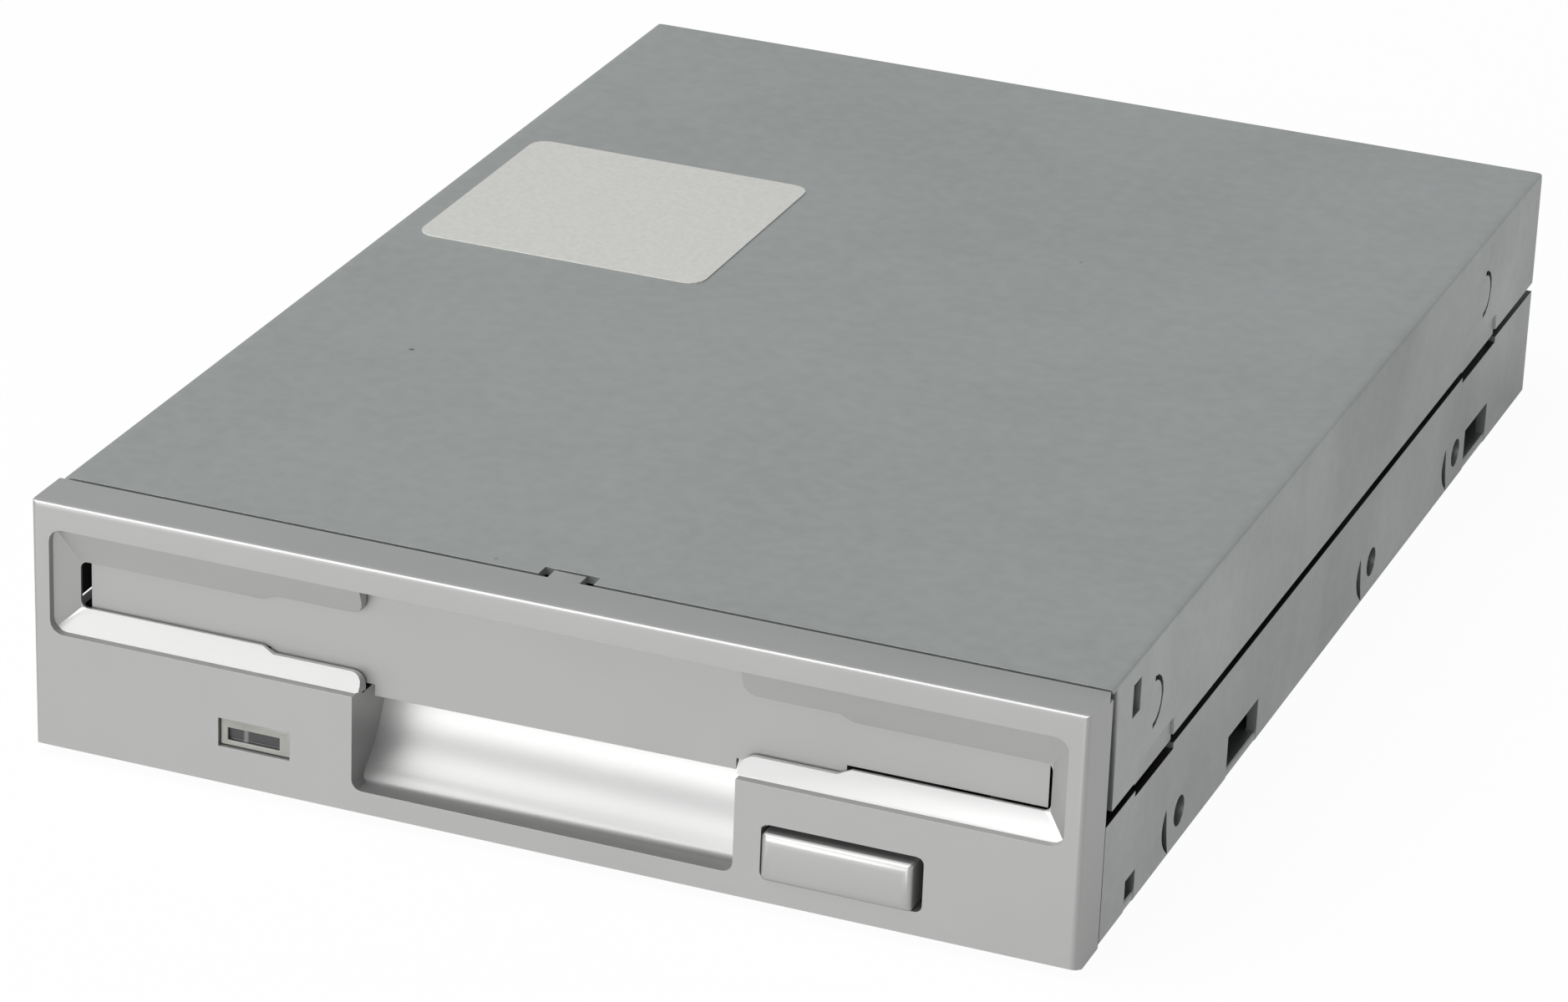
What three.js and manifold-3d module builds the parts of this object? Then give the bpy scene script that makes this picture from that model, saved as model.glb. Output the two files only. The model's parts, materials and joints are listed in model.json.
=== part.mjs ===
// An internal 3.5 inch floppy disk drive, as an assembly of its separate pieces.
// Millimetres. x runs to the right, y runs backwards from the face of the front bezel while the pieces
// are made, and z runs up from the bottom. The finished group is moved so that its origin lies under
// the middle of the drive. The drive holds no disk: the button is in and the disk holder is up.
import * as THREE from "three";
import { mergeVertices } from "three/addons/utils/BufferGeometryUtils.js";
import Module from "manifold-3d";

const wasm = await Module();
wasm.setup();

// Overall form
const connectorOverhang = 1;
const buttonProud = 0.8;
const sideSpace = 3;
const holderHeadroom = 4.2;
const mainBoardInset = 1;

// General clearances and facets
const runningGap = 0.3;
const seatGap = 0.1;
const overrun = 2;
const weldTolerance = 1e-4;
const roundSides = 32;
const smallSides = 16;
const cornerSteps = 4;

// Disk and the heights at which it lies
const diskHeight = 3.3;
const diskWidth = 90;
const diskRaised = 15;
const diskDrop = 3;
const slideTravel = 5.5;

// Front bezel
const bezelFrontWall = 2.2;
const bezelFloorWall = 1.7;
const bezelSideWall = 1.5;
const bezelSideDepth = 6.3;
const bezelTopDepth = 5.4;
const bezelCornerRadius = 0.6;
const bezelEdgeRadius = 0.6;
const bezelToeHeight = 0.9;
const bezelToeDepth = 2.1;
const bezelLedgeDepth = 7.6;
const bezelLedgeHeight = 1;
const recessSideWall = 1.7;
const recessTopWall = 2.54;
const recessLedge = 2.5;
const recessRim = 0.8;
const recessCorner = 1.3;
const slotDepth = 1.4;
const slotSideWall = 4;
const slotUnderDisk = 0.13;
const slotOverDisk = 1.2;
const slotStepX = 28;
const slotStepRise = 0.6;
const slotStepRun = 1.2;
const slotCorner = 0.7;
const slotLip = 0.3;
const frameEndX = 18.4;
const frameEndRadius = 1.2;
const coverTabLeft = -2.26;
const coverTabRight = 0.84;
const coverTabDepth = 7.4;

// Thumb scoop
const scoopHalfWidth = 18.6;
const scoopBottom = 3.1;
const scoopRimDepth = 1.4;
const scoopRadius = 10.66;
const scoopStartAngle = 25.9;
const scoopCorner = 1;
const scoopShell = 1.2;
const scoopArcSteps = 10;
const scoopRimTop = 11.8;

// Indicator window and lamp
const windowLeft = -32;
const windowRight = -24.8;
const windowBottom = 4.6;
const windowTop = 7.45;
const windowSink = 0.8;
const windowRim = 0.7;
const lampDepth = 4;
const lampGap = 0.4;

// Eject button
const buttonHoleLeft = 21.2;
const buttonHoleRight = 36.5;
const buttonHoleBottom = 3.2;
const buttonHoleTop = 8.6;
const buttonLeft = 21.45;
const buttonRight = 35.7;
const buttonBottom = 3.3;
const buttonTop = 7.93;
const buttonLength = 8.5;
const buttonEdge = 0.6;

// Door flap
const doorSideGap = 0.6;
const doorFront = 1.9;
const doorThickness = 1.4;
const doorSideRise = 0.31;
const doorStepDrop = 1.27;
const doorMiddleRise = 0.13;
const doorMiddleHalf = 17.6;
const doorTopGap = 0.56;
const doorPinRadius = 0.6;
const doorPinLength = 1.9;
const doorPinInset = 1.7;
const doorPinDrop = 0.3;
const doorBarrelRadius = 0.9;
const doorEarHeight = 2.6;
const doorPocketSkin = 0.4;
const doorCoilInset = 2.2;
const doorCoilTurns = 5;
const doorCoilPitch = 0.9;
const doorCoilRadius = 1;
const doorWire = 0.3;
const doorLeg = 6;

// Top cover and its label
const coverSheet = 0.8;
const coverTopGap = 0.2;
const coverFront = 5.5;
const coverSkirtFront = 7.9;
const skirtSeam = 0.8;
const coverBend = 0.9;
const coverRearGap = 0.6;
const coverNotchLeft = -3.3;
const coverNotchRight = 2.05;
const coverNotchDepth = 7.8;
const skirtSlotFront = 12;
const skirtSlotLength = 2.1;
const skirtSlotBottom = 19.75;
const skirtSlotHeight = 3.4;
const tongueFrontDepth = 18.2;
const tongueRearInset = 20.4;
const tongueRadius = 2.1;
const tongueMiddle = 18.6;
const tongueGap = 0.5;
const frontJoggleLead = 3.5;
const frontJoggleLength = 10;
const rearJoggleLead = 5.8;
const rearJoggleLength = 11.7;
const joggleDrop = 0.6;
const joggleHeight = 2.4;
const joggleSink = 0.25;
const firstTabFront = 36;
const tabPitch = 64;
const tabLength = 7;
const tabInset = 1.2;
const tabBottom = 9;
const labelInset = 3;
const labelWidth = 31.1;
const labelLength = 30;
const labelRearInset = 39.6;
const labelThickness = 0.1;
const labelCorner = 1.8;

// Chassis
const chassisSheet = 1;
const chassisFront = 6.5;
const chassisWallTop = 11.8;
const chassisBend = 0.5;
const chassisInnerRadius = 0.3;
const chassisRearTop = 2.6;
const sideHolePitch = 60;
const sideHoleRearPitch = 30;
const sideHoleFirst = 28.1;
const sideHoleHeight = 3.54;
const sideHoleRadius = 1.5;
const crescentReach = 4.2;
const crescentWidth = 0.7;
const crescentHalfAngle = 38;
const crescentTurn = 11;
const frontWindowDepth = 13.1;
const frontWindowLength = 2.7;
const frontWindowHeight = 3.4;
const middleWindowDepth = 42.3;
const middleWindowLength = 9.1;
const middleWindowHeight = 4.6;
const rearWindowInset = 23.5;
const rearWindowLength = 8.3;
const rearWindowHeight = 4.7;
const bendWindowReach = 3;
const floorVentRadius = 6;
const floorVentX = 30;
const guideTabTop = 19;
const guideTabInset = 1.1;
const guideTabHalf = 5;
const hookInset = 4.3;
const hookDepth = 31.2;
const hookHalf = 1.2;
const hookTop = 7;

// Disk holder and its pins
const holderSheet = 0.8;
const diskHeadroom = 1.1;
const holderFront = 14;
const holderHeadReach = 10;
const holderSideShort = 4;
const holderFlange = 5.6;
const holderFrontNotchHalf = 20;
const holderFrontNotch = 1.5;
const armSlotGap = 0.6;
const armSlotReach = 22;
const pinRadius = 1;
const pinRise = 2.2;
const frontPinInset = 14;
const rearPinInset = 20;
const pinEndGap = 0.1;
const trackClearance = 0.2;

// Shutter lever on the holder
const leverSheet = 0.8;
const leverLength = 26.5;
const leverPivotX = 28;
const leverRearMargin = 3.5;
const leverRestAngle = 70;
const leverSwing = 45;
const leverHub = 3.4;
const leverTip = 2;
const pegRadius = 1;
const pegReach = 2.4;
const pivotRadius = 1.5;
const pivotHeadRadius = 2;
const pivotTop = 3.4;
const leverCoilRadius = 2.5;
const leverCoilTurns = 2;
const leverCoilGap = 0.45;
const leverWire = 0.4;
const leverLeg = 7;
const leverTabHeight = 3;
const leverCoilLiftShare = 2.5;
const leverReachShare = 1.05;

// Slide plate, its posts and springs
const slideSheet = 0.8;
const slideFloor = 9.2;
const slideRail = 5.8;
const slideSideGap = 0.9;
const slideFront = 14.5;
const slideRearShort = 9;
const slideWallTop = 19.6;
const slideBarFront = 26;
const slideBarRear = 31;
const armLeft = 24;
const armRight = 33;
const armHeight = 5.4;
const armGrip = 2;
const postLead = 6;
const postInset = 3.3;
const postRadius = 2;
const postNeck = 1;
const postHead = 0.8;
const springTabDepth = 56;
const springTabDrop = 1.6;
const springRadius = 1.5;
const springWire = 0.5;
const springTurns = 14;
const springHeight = 5.3;
const curlSteps = 8;
const wireSides = 5;

// Spindle motor
const boardThickness = 1.2;
const boardWingWidth = 5;
const motorBoardFront = 9.5;
const boardRearGap = 3;
const boardSideGap = 1;
const boardWingRear = 25;
const spindleDepth = 54.5;
const bearingFlange = 7;
const bearingFlangeHeight = 1;
const bearingBarrel = 3.6;
const bearingTop = 7.1;
const bearingBore = 1.7;
const shaftRadius = 1.4;
const statorInner = 3.9;
const statorYoke = 8;
const statorOuter = 16.4;
const statorBottom = 3.6;
const statorTop = 6.4;
const statorPoles = 9;
const poleNeck = 2.6;
const poleTip = 4.6;
const poleTipDepth = 1.8;
const rotorOuter = 19.9;
const rotorRim = 1;
const rotorBottom = 3.6;
const rotorTop = 8.2;
const rotorPlate = 0.8;
const magnetDepth = 1.6;
const magnetInset = 0.1;
const hubNeck = 5;
const hubNeckTop = 9.9;
const hubRadius = 12.3;
const hubTop = 12.3;
const hubMagnetInner = 5;
const hubMagnetOuter = 11.5;
const hubMagnetHeight = 1.4;
const noseRadius = 1.98;
const noseTop = 14.2;
const noseTipShare = 0.75;
const driveRadius = 10;
const drivePinRadius = 1;
const drivePinTop = 13.6;
const drivePinTipShare = 0.7;
const driveArmSheet = 0.3;

// Switches
const switchInset = 2.5;
const switchDepth = 13.5;
const switchPitch = 5.4;
const switchHalfX = 2.2;
const switchHalfDepth = 2.4;
const switchTop = 8.8;
const plungerRadius = 0.8;
const plungerTop = 12.6;
const plungerFlange = 1.3;
const plungerFlangeHeight = 0.8;
const plungerTravel = 1.2;

// Head carriage and its heads
const trackMargin = 4.8;
const headTravel = 14.8;
const carriageFront = 4;
const carriageRear = 26;
const carriageLeft = -10;
const carriageRight = 20;
const carriageBottom = 3.6;
const carriageTop = 11;
const carriageSkin = 2.6;
const towerHalf = 4;
const towerLength = 3.4;
const towerTop = 12.8;
const headHeight = 0.75;
const headHalf = 3;
const headGap = 0.2;
const nutLeft = -24;
const nutFront = 2;
const nutLength = 6;
const nutBottom = 5.5;
const hingeBack = 24;
const hingeHeight = 16.5;
const hingePin = 1;
const hingeEar = 1.4;
const liftAngle = 12.5;
const armHalf = 7.6;
const armSheet = 1.2;
const armNose = 1;
const armTipShare = 0.6;
const armWindowShare = 0.6;
const armRib = 1.2;
const wingReach = 14.8;
const wingBack = 15;
const wingLength = 2;
const wingRise = 1.07;
const armSpringWidth = 4;
const armSpringSheet = 0.4;
const armSpringRiseShare = 1.8;
const armSpringKneeShare = 1.5;

// Guide rod, lead screw and stepper motor
const rodX = 17;
const rodHeight = 6;
const rodRadius = 1.5;
const rodBoardLap = 2;
const rodBackGap = 1.1;
const rodClampHalf = 3.4;
const rodClampLength = 3;
const screwX = -20;
const screwHeight = 8.6;
const screwRadius = 1.5;
const screwAhead = 15;
const bracketSheet = 1;
const bracketHalf = 7;
const bracketLength = 24;
const bracketTop = 15.5;
const bracketTabTop = 10.9;
const bushRadius = 2.6;
const bushLength = 1.4;
const stepperRadius = 7.5;
const stepperLength = 14;
const vaneX = 6;
const vaneSheet = 0.8;
const vaneLength = 6.7;
const vaneBottom = 7;
const vaneTop = 9;

// Main board at the back and what stands on it
const mainBoardBottom = 3;
const mainBoardThickness = 1.6;
const mainBoardSideGap = 1.8;
const mainBoardWing = 40;
const boardStripGap = 4.5;
const boardStripDepth = 19.5;
const boardRightWing = 24;
const boardLeftWing = -30;
const standoffRadius = 2.2;
const standoffInset = 5;
const standoffFrontInset = 6;
const dataLeft = -15.5;
const dataRight = 35.5;
const dataBoardLap = 7.5;
const dataHeight = 9;
const dataWall = 1;
const dataPinPitch = 2.54;
const dataPinHalf = 0.32;
const dataPins = 17;
const dataKey = 4.6;
const pinSinkShare = 1.5;
const powerLeft = -37;
const powerRight = -25;
const powerHeight = 6.9;
const powerBoardLap = 7;
const powerPinPitch = 2.5;
const powerPins = 4;
const chipHeight = 1.6;
const chipSide = 12;
const chipInset = 11;
const chipFrontInset = 14;
const driverLength = 9;
const driverWidth = 6;
const driverX = -8;
const driverInset = 3.5;
const sensorLength = 5;
const sensorHalf = 3;
const sensorTop = 9.8;
const sensorSlot = 2;
const cableWidth = 8;
const cableSheet = 0.3;
const cableLeft = -9;
const cableBulge = 7;

// Widths, heights and depths that follow from the sizes above
const holderHalfWidth = diskWidth / 2 + runningGap + holderSheet;
const slideOuter = holderHalfWidth + slideSideGap + slideSheet;
const slideInner = slideOuter - slideRail;
const halfWidth = slideOuter + sideSpace;
const holderTop = diskRaised + diskHeight + diskHeadroom + holderSheet;
const bodyHeight = holderTop + holderHeadroom + coverSheet + coverTopGap;
const headDepth = spindleDepth + rotorOuter + headTravel + trackMargin;
const mainBoardStrip = headDepth + carriageRear + boardStripGap;
const mainBoardRear = mainBoardStrip + boardStripDepth;
const mainBoardFront = mainBoardRear - mainBoardWing;
const bodyDepth = mainBoardRear + mainBoardInset;
const overallDepth = bodyDepth + connectorOverhang;

const recessHalfWidth = halfWidth - recessSideWall;
const recessTop = bodyHeight - recessTopWall;
const slotHalfWidth = halfWidth - slotSideWall;
const slotBottom = diskRaised - slotUnderDisk;
const slotTop = diskRaised + diskHeight + slotOverDisk;
const recessBottom = slotBottom - recessLedge;
const doorHalfWidth = slotHalfWidth - doorSideGap;
const doorSideBottom = slotBottom + doorSideRise;
const doorStepBottom = slotBottom - doorStepDrop;
const doorMiddleBottom = recessBottom + doorMiddleRise;
const doorTop = recessTop - doorTopGap;
const doorCoilX = doorCoilInset - doorHalfWidth;
const coverSkirtBottom = chassisWallTop + skirtSeam;
const tongueCentres = [tongueFrontDepth, bodyDepth - tongueRearInset];
const joggles = [
  [tongueCentres[0] - frontJoggleLead, frontJoggleLength],
  [tongueCentres[1] - rearJoggleLead, rearJoggleLength],
];
const tabFronts = [firstTabFront, firstTabFront + tabPitch];
const labelLeft = labelInset - halfWidth;
const labelRight = labelLeft + labelWidth;
const labelRear = bodyDepth - labelRearInset;
const labelFront = labelRear - labelLength;
const bendWindows = [
  [frontWindowDepth, frontWindowLength, frontWindowHeight],
  [middleWindowDepth, middleWindowLength, middleWindowHeight],
  [bodyDepth - rearWindowInset, rearWindowLength, rearWindowHeight],
];
const hookX = slideOuter - hookInset;
const holderRear = headDepth + holderHeadReach;
const holderSideRear = holderRear - holderSideShort;
const armFrontReach = hingeBack + headHalf + armNose;
const armSlotHalf = armHalf + runningGap * 2 + hingeEar + armSlotGap;
const armSlotFront = headDepth - armSlotReach;
const pinPlaces = [holderFront + frontPinInset, holderRear - rearPinInset];
const slideRear = holderRear - slideRearShort;
const postPlaces = pinPlaces.map((place) => place - postLead);
const postX = slideOuter - postInset;
const leverPivotDepth = holderRear - leverLength - leverRearMargin;
const boardWingHalf = slideInner - boardSideGap;
const motorBoardHalf = boardWingHalf - boardWingWidth;
const switchX = boardWingHalf - switchInset;
const switchPlaces = [
  ["disk", -1, switchDepth],
  ["write_protect", -1, switchDepth + switchPitch],
  ["density", 1, switchDepth],
];
const screwFront = headDepth - screwAhead;
const motorBoardRear = screwFront - boardRearGap;
const rodFront = motorBoardRear - rodBoardLap;
const rodBack = mainBoardStrip - rodBackGap;
const bracketRear = screwFront + bracketLength;
const mainBoardHalf = halfWidth - mainBoardSideGap;
const standoffX = mainBoardHalf - standoffInset;
const standoffDepths = [mainBoardFront + standoffFrontInset, mainBoardRear - standoffInset];
const standoffPlaces = standoffDepths.flatMap((y) => [[standoffX, y], [-standoffX, y]]);
const dataFront = mainBoardRear - dataBoardLap;
const powerFront = mainBoardRear - powerBoardLap;
const chipX = mainBoardHalf - chipInset;
const chipDepth = mainBoardFront + chipFrontInset;
const driverDepth = mainBoardStrip + driverInset;
const floorTop = chassisSheet;
const motorBoardTop = floorTop + boardThickness;
const mainBoardTop = mainBoardBottom + mainBoardThickness;
const coverRearBottom = mainBoardTop + dataHeight + coverRearGap;
const doorAxisDepth = doorFront + doorPinInset;
const doorAxisHeight = doorTop - doorPinDrop;
const coverTop = bodyHeight - coverTopGap;
const coverUnder = coverTop - coverSheet;
const pinHeight = diskRaised + pinRise;
const sheetGrey = { colour: 0x929693, roughness: 0.38, metalness: 0.85 };
const steelGrey = { colour: 0x8a8d8b, roughness: 0.4, metalness: 0.85 };
const brightSteel = { colour: 0xb9bbbb, roughness: 0.3, metalness: 0.9 };
const bezelGrey = { colour: 0xb8b8b7, roughness: 0.55, metalness: 0 };
const darkPlastic = { colour: 0x2a2b2d, roughness: 0.55, metalness: 0 };
const palePlastic = { colour: 0xd8d5c8, roughness: 0.5, metalness: 0 };
const paper = { colour: 0xcfcfcb, roughness: 0.8, metalness: 0 };
const brass = { colour: 0xb8955a, roughness: 0.35, metalness: 0.9 };
const boardGreen = { colour: 0x1f5a36, roughness: 0.5, metalness: 0 };
const magnetBlack = { colour: 0x35332f, roughness: 0.6, metalness: 0.2 };
const clearPlastic = { colour: 0xa9aaa4, roughness: 0.25, metalness: 0 };
const copper = { colour: 0xa5603a, roughness: 0.4, metalness: 0.8 };
const cableAmber = { colour: 0xb27f38, roughness: 0.4, metalness: 0 };

// A closed geometry becomes a solid that can be joined and cut. Triangles that have no area are left out.
function solid(geometry) {
  const bare = geometry.clone();
  bare.deleteAttribute("normal");
  bare.deleteAttribute("uv");
  const merged = mergeVertices(bare, weldTolerance);
  const corners = [];
  for (let i = 0; i < merged.index.count; i += 3) {
    const [a, b, c] = [merged.index.getX(i), merged.index.getX(i + 1), merged.index.getX(i + 2)];
    if (a !== b && b !== c && c !== a) corners.push(a, b, c);
  }
  const make = (list) =>
    new wasm.Manifold(
      new wasm.Mesh({
        numProp: 3,
        vertProperties: merged.attributes.position.array,
        triVerts: new Uint32Array(list),
      }),
    );
  const made = make(corners);
  return made.volume() < 0 ? make(corners.reverse()) : made;
}

// The solid's triangles as a geometry with flat faces.
function geometryOf(made) {
  const mesh = made.getMesh();
  const geometry = new THREE.BufferGeometry();
  geometry.setAttribute("position", new THREE.BufferAttribute(mesh.vertProperties, mesh.numProp));
  geometry.setIndex(new THREE.BufferAttribute(mesh.triVerts, 1));
  const flat = geometry.toNonIndexed();
  flat.computeVertexNormals();
  return flat;
}

function join(...solids) {
  return solids.flat().reduce((all, next) => all.add(next));
}

function cut(whole, ...tools) {
  return tools.flat().reduce((left, tool) => left.subtract(tool), whole);
}

// A block between two corners.
function block(x0, x1, y0, y1, z0, z1) {
  const geometry = new THREE.BoxGeometry(x1 - x0, y1 - y0, z1 - z0);
  geometry.translate((x0 + x1) / 2, (y0 + y1) / 2, (z0 + z1) / 2);
  return solid(geometry);
}

// The same block on both sides of the drive's middle plane, from two distances to that plane.
function pair(near, far, y0, y1, z0, z1) {
  return [block(near, far, y0, y1, z0, z1), block(-far, -near, y0, y1, z0, z1)];
}

function outline(points) {
  return new THREE.Shape(points.map(([a, b]) => new THREE.Vector2(a, b)));
}

// Points on an arc, in degrees, both ends included.
function arc(a, b, radius, from, to, steps) {
  return Array.from({ length: steps + 1 }, (_, i) => {
    const angle = THREE.MathUtils.degToRad(from + ((to - from) * i) / steps);
    return [a + radius * Math.cos(angle), b + radius * Math.sin(angle)];
  });
}

function circle(a, b, radius, sides) {
  return outline(arc(a, b, radius, 0, 360, sides).slice(0, sides));
}

function roundedRectangle(a0, a1, b0, b1, radius) {
  return outline([
    ...arc(a1 - radius, b1 - radius, radius, 0, 90, cornerSteps),
    ...arc(a0 + radius, b1 - radius, radius, 90, 180, cornerSteps),
    ...arc(a0 + radius, b0 + radius, radius, 180, 270, cornerSteps),
    ...arc(a1 - radius, b0 + radius, radius, 270, 360, cornerSteps),
  ]);
}

// A shape pushed along an axis. Along x the shape's plane is y and z, along y it is x and z.
function push(shape, axis, from, to) {
  const geometry = new THREE.ExtrudeGeometry(shape, { depth: to - from, bevelEnabled: false });
  const turn = new THREE.Matrix4();
  if (axis === "x") turn.set(0, 0, 1, from, 1, 0, 0, 0, 0, 1, 0, 0, 0, 0, 0, 1);
  if (axis === "y") turn.set(1, 0, 0, 0, 0, 0, -1, to, 0, 1, 0, 0, 0, 0, 0, 1);
  if (axis === "z") turn.makeTranslation(0, 0, from);
  geometry.applyMatrix4(turn);
  return solid(geometry);
}

// A round bar along an axis through a point of the plane across it.
function bar(axis, a, b, radius, from, to, sides = smallSides) {
  return push(circle(a, b, radius, sides), axis, from, to);
}

// A profile of radius and height turned round an upright line.
function turned(profile, x, y, sides = roundSides) {
  const points = profile.map(([radius, height]) => new THREE.Vector2(radius, height));
  const geometry = new THREE.LatheGeometry(points, sides);
  geometry.rotateX(Math.PI / 2);
  geometry.translate(x, y, 0);
  return solid(geometry);
}

// A block whose two ends differ: corners given as rectangles at two depths.
function frustum(front, depthFront, back, depthBack) {
  const corner = ([x0, x1, z0, z1], y) => [[x0, y, z0], [x1, y, z0], [x1, y, z1], [x0, y, z1]];
  const places = [...corner(front, depthFront), ...corner(back, depthBack)].flat();
  const geometry = new THREE.BufferGeometry();
  geometry.setAttribute("position", new THREE.Float32BufferAttribute(places, 3));
  const faces = [0, 1, 2, 0, 2, 3, 4, 6, 5, 4, 7, 6];
  for (let i = 0; i < 4; i += 1) {
    const next = (i + 1) % 4;
    faces.push(i, i + 4, next + 4, i, next + 4, next);
  }
  geometry.setIndex(faces);
  return solid(geometry);
}

// A bent wire as one unbroken tube through a list of points, with flat ends.
function wire(points, radius, sides = wireSides) {
  const places = [];
  const faces = [];
  const forward = (i) => {
    const before = points[Math.max(i - 1, 0)];
    const after = points[Math.min(i + 1, points.length - 1)];
    return after.clone().sub(before).normalize();
  };
  const first = forward(0);
  const steep = Math.abs(first.z) > Math.abs(first.x);
  const across = new THREE.Vector3(steep ? 1 : 0, 0, steep ? 0 : 1);
  let side = across.sub(first.clone().multiplyScalar(across.dot(first))).normalize();
  points.forEach((point, i) => {
    const ahead = forward(i);
    side = side.clone().sub(ahead.clone().multiplyScalar(side.dot(ahead))).normalize();
    const up = ahead.clone().cross(side);
    for (let k = 0; k < sides; k += 1) {
      const angle = (2 * Math.PI * k) / sides;
      const place = point.clone();
      place.addScaledVector(side, radius * Math.cos(angle));
      place.addScaledVector(up, radius * Math.sin(angle));
      places.push(place.x, place.y, place.z);
    }
    if (i === 0) return;
    for (let k = 0; k < sides; k += 1) {
      const next = (k + 1) % sides;
      const [here, before] = [i * sides, (i - 1) * sides];
      faces.push(before + k, here + next, here + k, before + k, before + next, here + next);
    }
  });
  const last = (points.length - 1) * sides;
  for (let k = 1; k < sides - 1; k += 1) faces.push(0, k + 1, k, last, last + k, last + k + 1);
  const geometry = new THREE.BufferGeometry();
  geometry.setAttribute("position", new THREE.Float32BufferAttribute(places, 3));
  geometry.setIndex(faces);
  return solid(geometry);
}

// The bezel is one moulding: a cup open at the back, with a sloped recess round the disk slot and a
// concave scoop for the thumb.
function frontBezel() {
  const side = outline([
    [bezelSideDepth, 0],
    [bezelSideDepth, bodyHeight],
    ...arc(bezelEdgeRadius, bodyHeight - bezelEdgeRadius, bezelEdgeRadius, 90, 180, cornerSteps),
    [0, bezelToeHeight],
    [bezelToeDepth, 0],
  ]);
  const plan = outline([
    [halfWidth, bezelSideDepth],
    [-halfWidth, bezelSideDepth],
    ...arc(-halfWidth + bezelCornerRadius, bezelCornerRadius, bezelCornerRadius, 180, 270, cornerSteps),
    ...arc(halfWidth - bezelCornerRadius, bezelCornerRadius, bezelCornerRadius, 270, 360, cornerSteps),
  ]);
  const inside = halfWidth - bezelSideWall;
  const topUnder = coverUnder - seatGap - bezelLedgeHeight;
  const shell = push(side, "x", -halfWidth, halfWidth).intersect(push(plan, "z", 0, bodyHeight));
  const hollow = block(-inside, inside, bezelFrontWall, bezelSideDepth + overrun, bezelFloorWall, topUnder);
  const coverSeat = block(-halfWidth - overrun, halfWidth + overrun, bezelTopDepth,
    bezelSideDepth + overrun, coverUnder - seatGap, bodyHeight + overrun);
  const ledge = block(-inside, inside, bezelFrontWall, bezelLedgeDepth, topUnder, coverUnder - seatGap);
  const tab = block(coverTabLeft, coverTabRight, bezelFrontWall, coverTabDepth, topUnder, coverTop);
  let bezel = cut(shell, hollow, coverSeat).add(ledge).add(tab);

  const rimFace = roundedRectangle(-recessHalfWidth, recessHalfWidth, recessBottom, recessTop, recessCorner);
  const slopeFront = [-recessHalfWidth, recessHalfWidth, recessBottom, recessTop];
  const slopeBack = [-slotHalfWidth, slotHalfWidth, slotBottom, slotTop];
  const slopes = frustum(slopeFront, recessRim, slopeBack, slotDepth);
  const lip = slotDepth + slotLip;
  bezel = cut(
    bezel,
    push(rimFace, "y", -overrun, recessRim),
    slopes.intersect(push(rimFace, "y", 0, slotDepth)),
    push(slotFace(), "y", recessRim, bezelFrontWall + overrun),
    block(-frameEndX, frameEndX, -overrun, bezelFrontWall + overrun, recessBottom, recessTop),
    frameEndCuts(),
    block(-slotHalfWidth - seatGap, slotHalfWidth + seatGap, lip, bezelFrontWall + overrun, recessBottom,
      topUnder),
  );

  const startAngle = THREE.MathUtils.degToRad(scoopStartAngle);
  const centreDepth = scoopRimDepth - scoopRadius * Math.sin(startAngle);
  const centreHeight = scoopBottom + scoopRadius * Math.cos(startAngle);
  const ramp = (radius) => arc(centreDepth, centreHeight, radius, 270 + scoopStartAngle, 360, scoopArcSteps);
  const outside = ramp(scoopRadius + scoopShell);
  const shellSide = outline([[0, outside[0][1]], ...outside, [0, centreHeight]]);
  const hollowSide = outline([
    [-overrun, scoopBottom],
    ...ramp(scoopRadius),
    [centreDepth + scoopRadius, recessTop],
    [-overrun, recessTop],
  ]);
  const scoopFace = outline([
    ...arc(-scoopHalfWidth + scoopCorner, scoopBottom + scoopCorner, scoopCorner, 180, 270, cornerSteps),
    ...arc(scoopHalfWidth - scoopCorner, scoopBottom + scoopCorner, scoopCorner, 270, 360, cornerSteps),
    [scoopHalfWidth, recessBottom + seatGap],
    [-scoopHalfWidth, recessBottom + seatGap],
  ]);
  const shellHalf = scoopHalfWidth + scoopShell;
  const scoopWall = push(shellSide, "x", -shellHalf, shellHalf).intersect(
    block(-shellHalf, shellHalf, 0, bodyDepth, 0, scoopRimTop),
  );
  const scoopSpace = push(hollowSide, "x", -scoopHalfWidth, scoopHalfWidth).intersect(
    push(scoopFace, "y", -overrun, bodyDepth),
  );
  bezel = cut(bezel.add(scoopWall), scoopSpace);

  const earNear = doorHalfWidth + runningGap;
  const earBottom = doorAxisHeight - doorEarHeight / 2;
  const earRear = doorAxisDepth + doorPinRadius * 3;
  const ears = pair(earNear + runningGap, inside + seatGap, lip, earRear, earBottom, topUnder + seatGap);
  const pinHole = bar("x", doorAxisDepth, doorAxisHeight, doorPinRadius + seatGap * 2, -inside, inside);
  const keepWall = cut(pinHole, block(-earNear, earNear, 0, bodyDepth, 0, bodyHeight));
  bezel = cut(join(bezel, ears), keepWall);

  return cut(
    bezel,
    block(windowLeft, windowRight, -overrun, bezelFrontWall + overrun, windowBottom, windowTop),
    block(buttonHoleLeft, buttonHoleRight, -overrun, bezelFrontWall + overrun, buttonHoleBottom,
      buttonHoleTop),
  );
}

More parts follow.
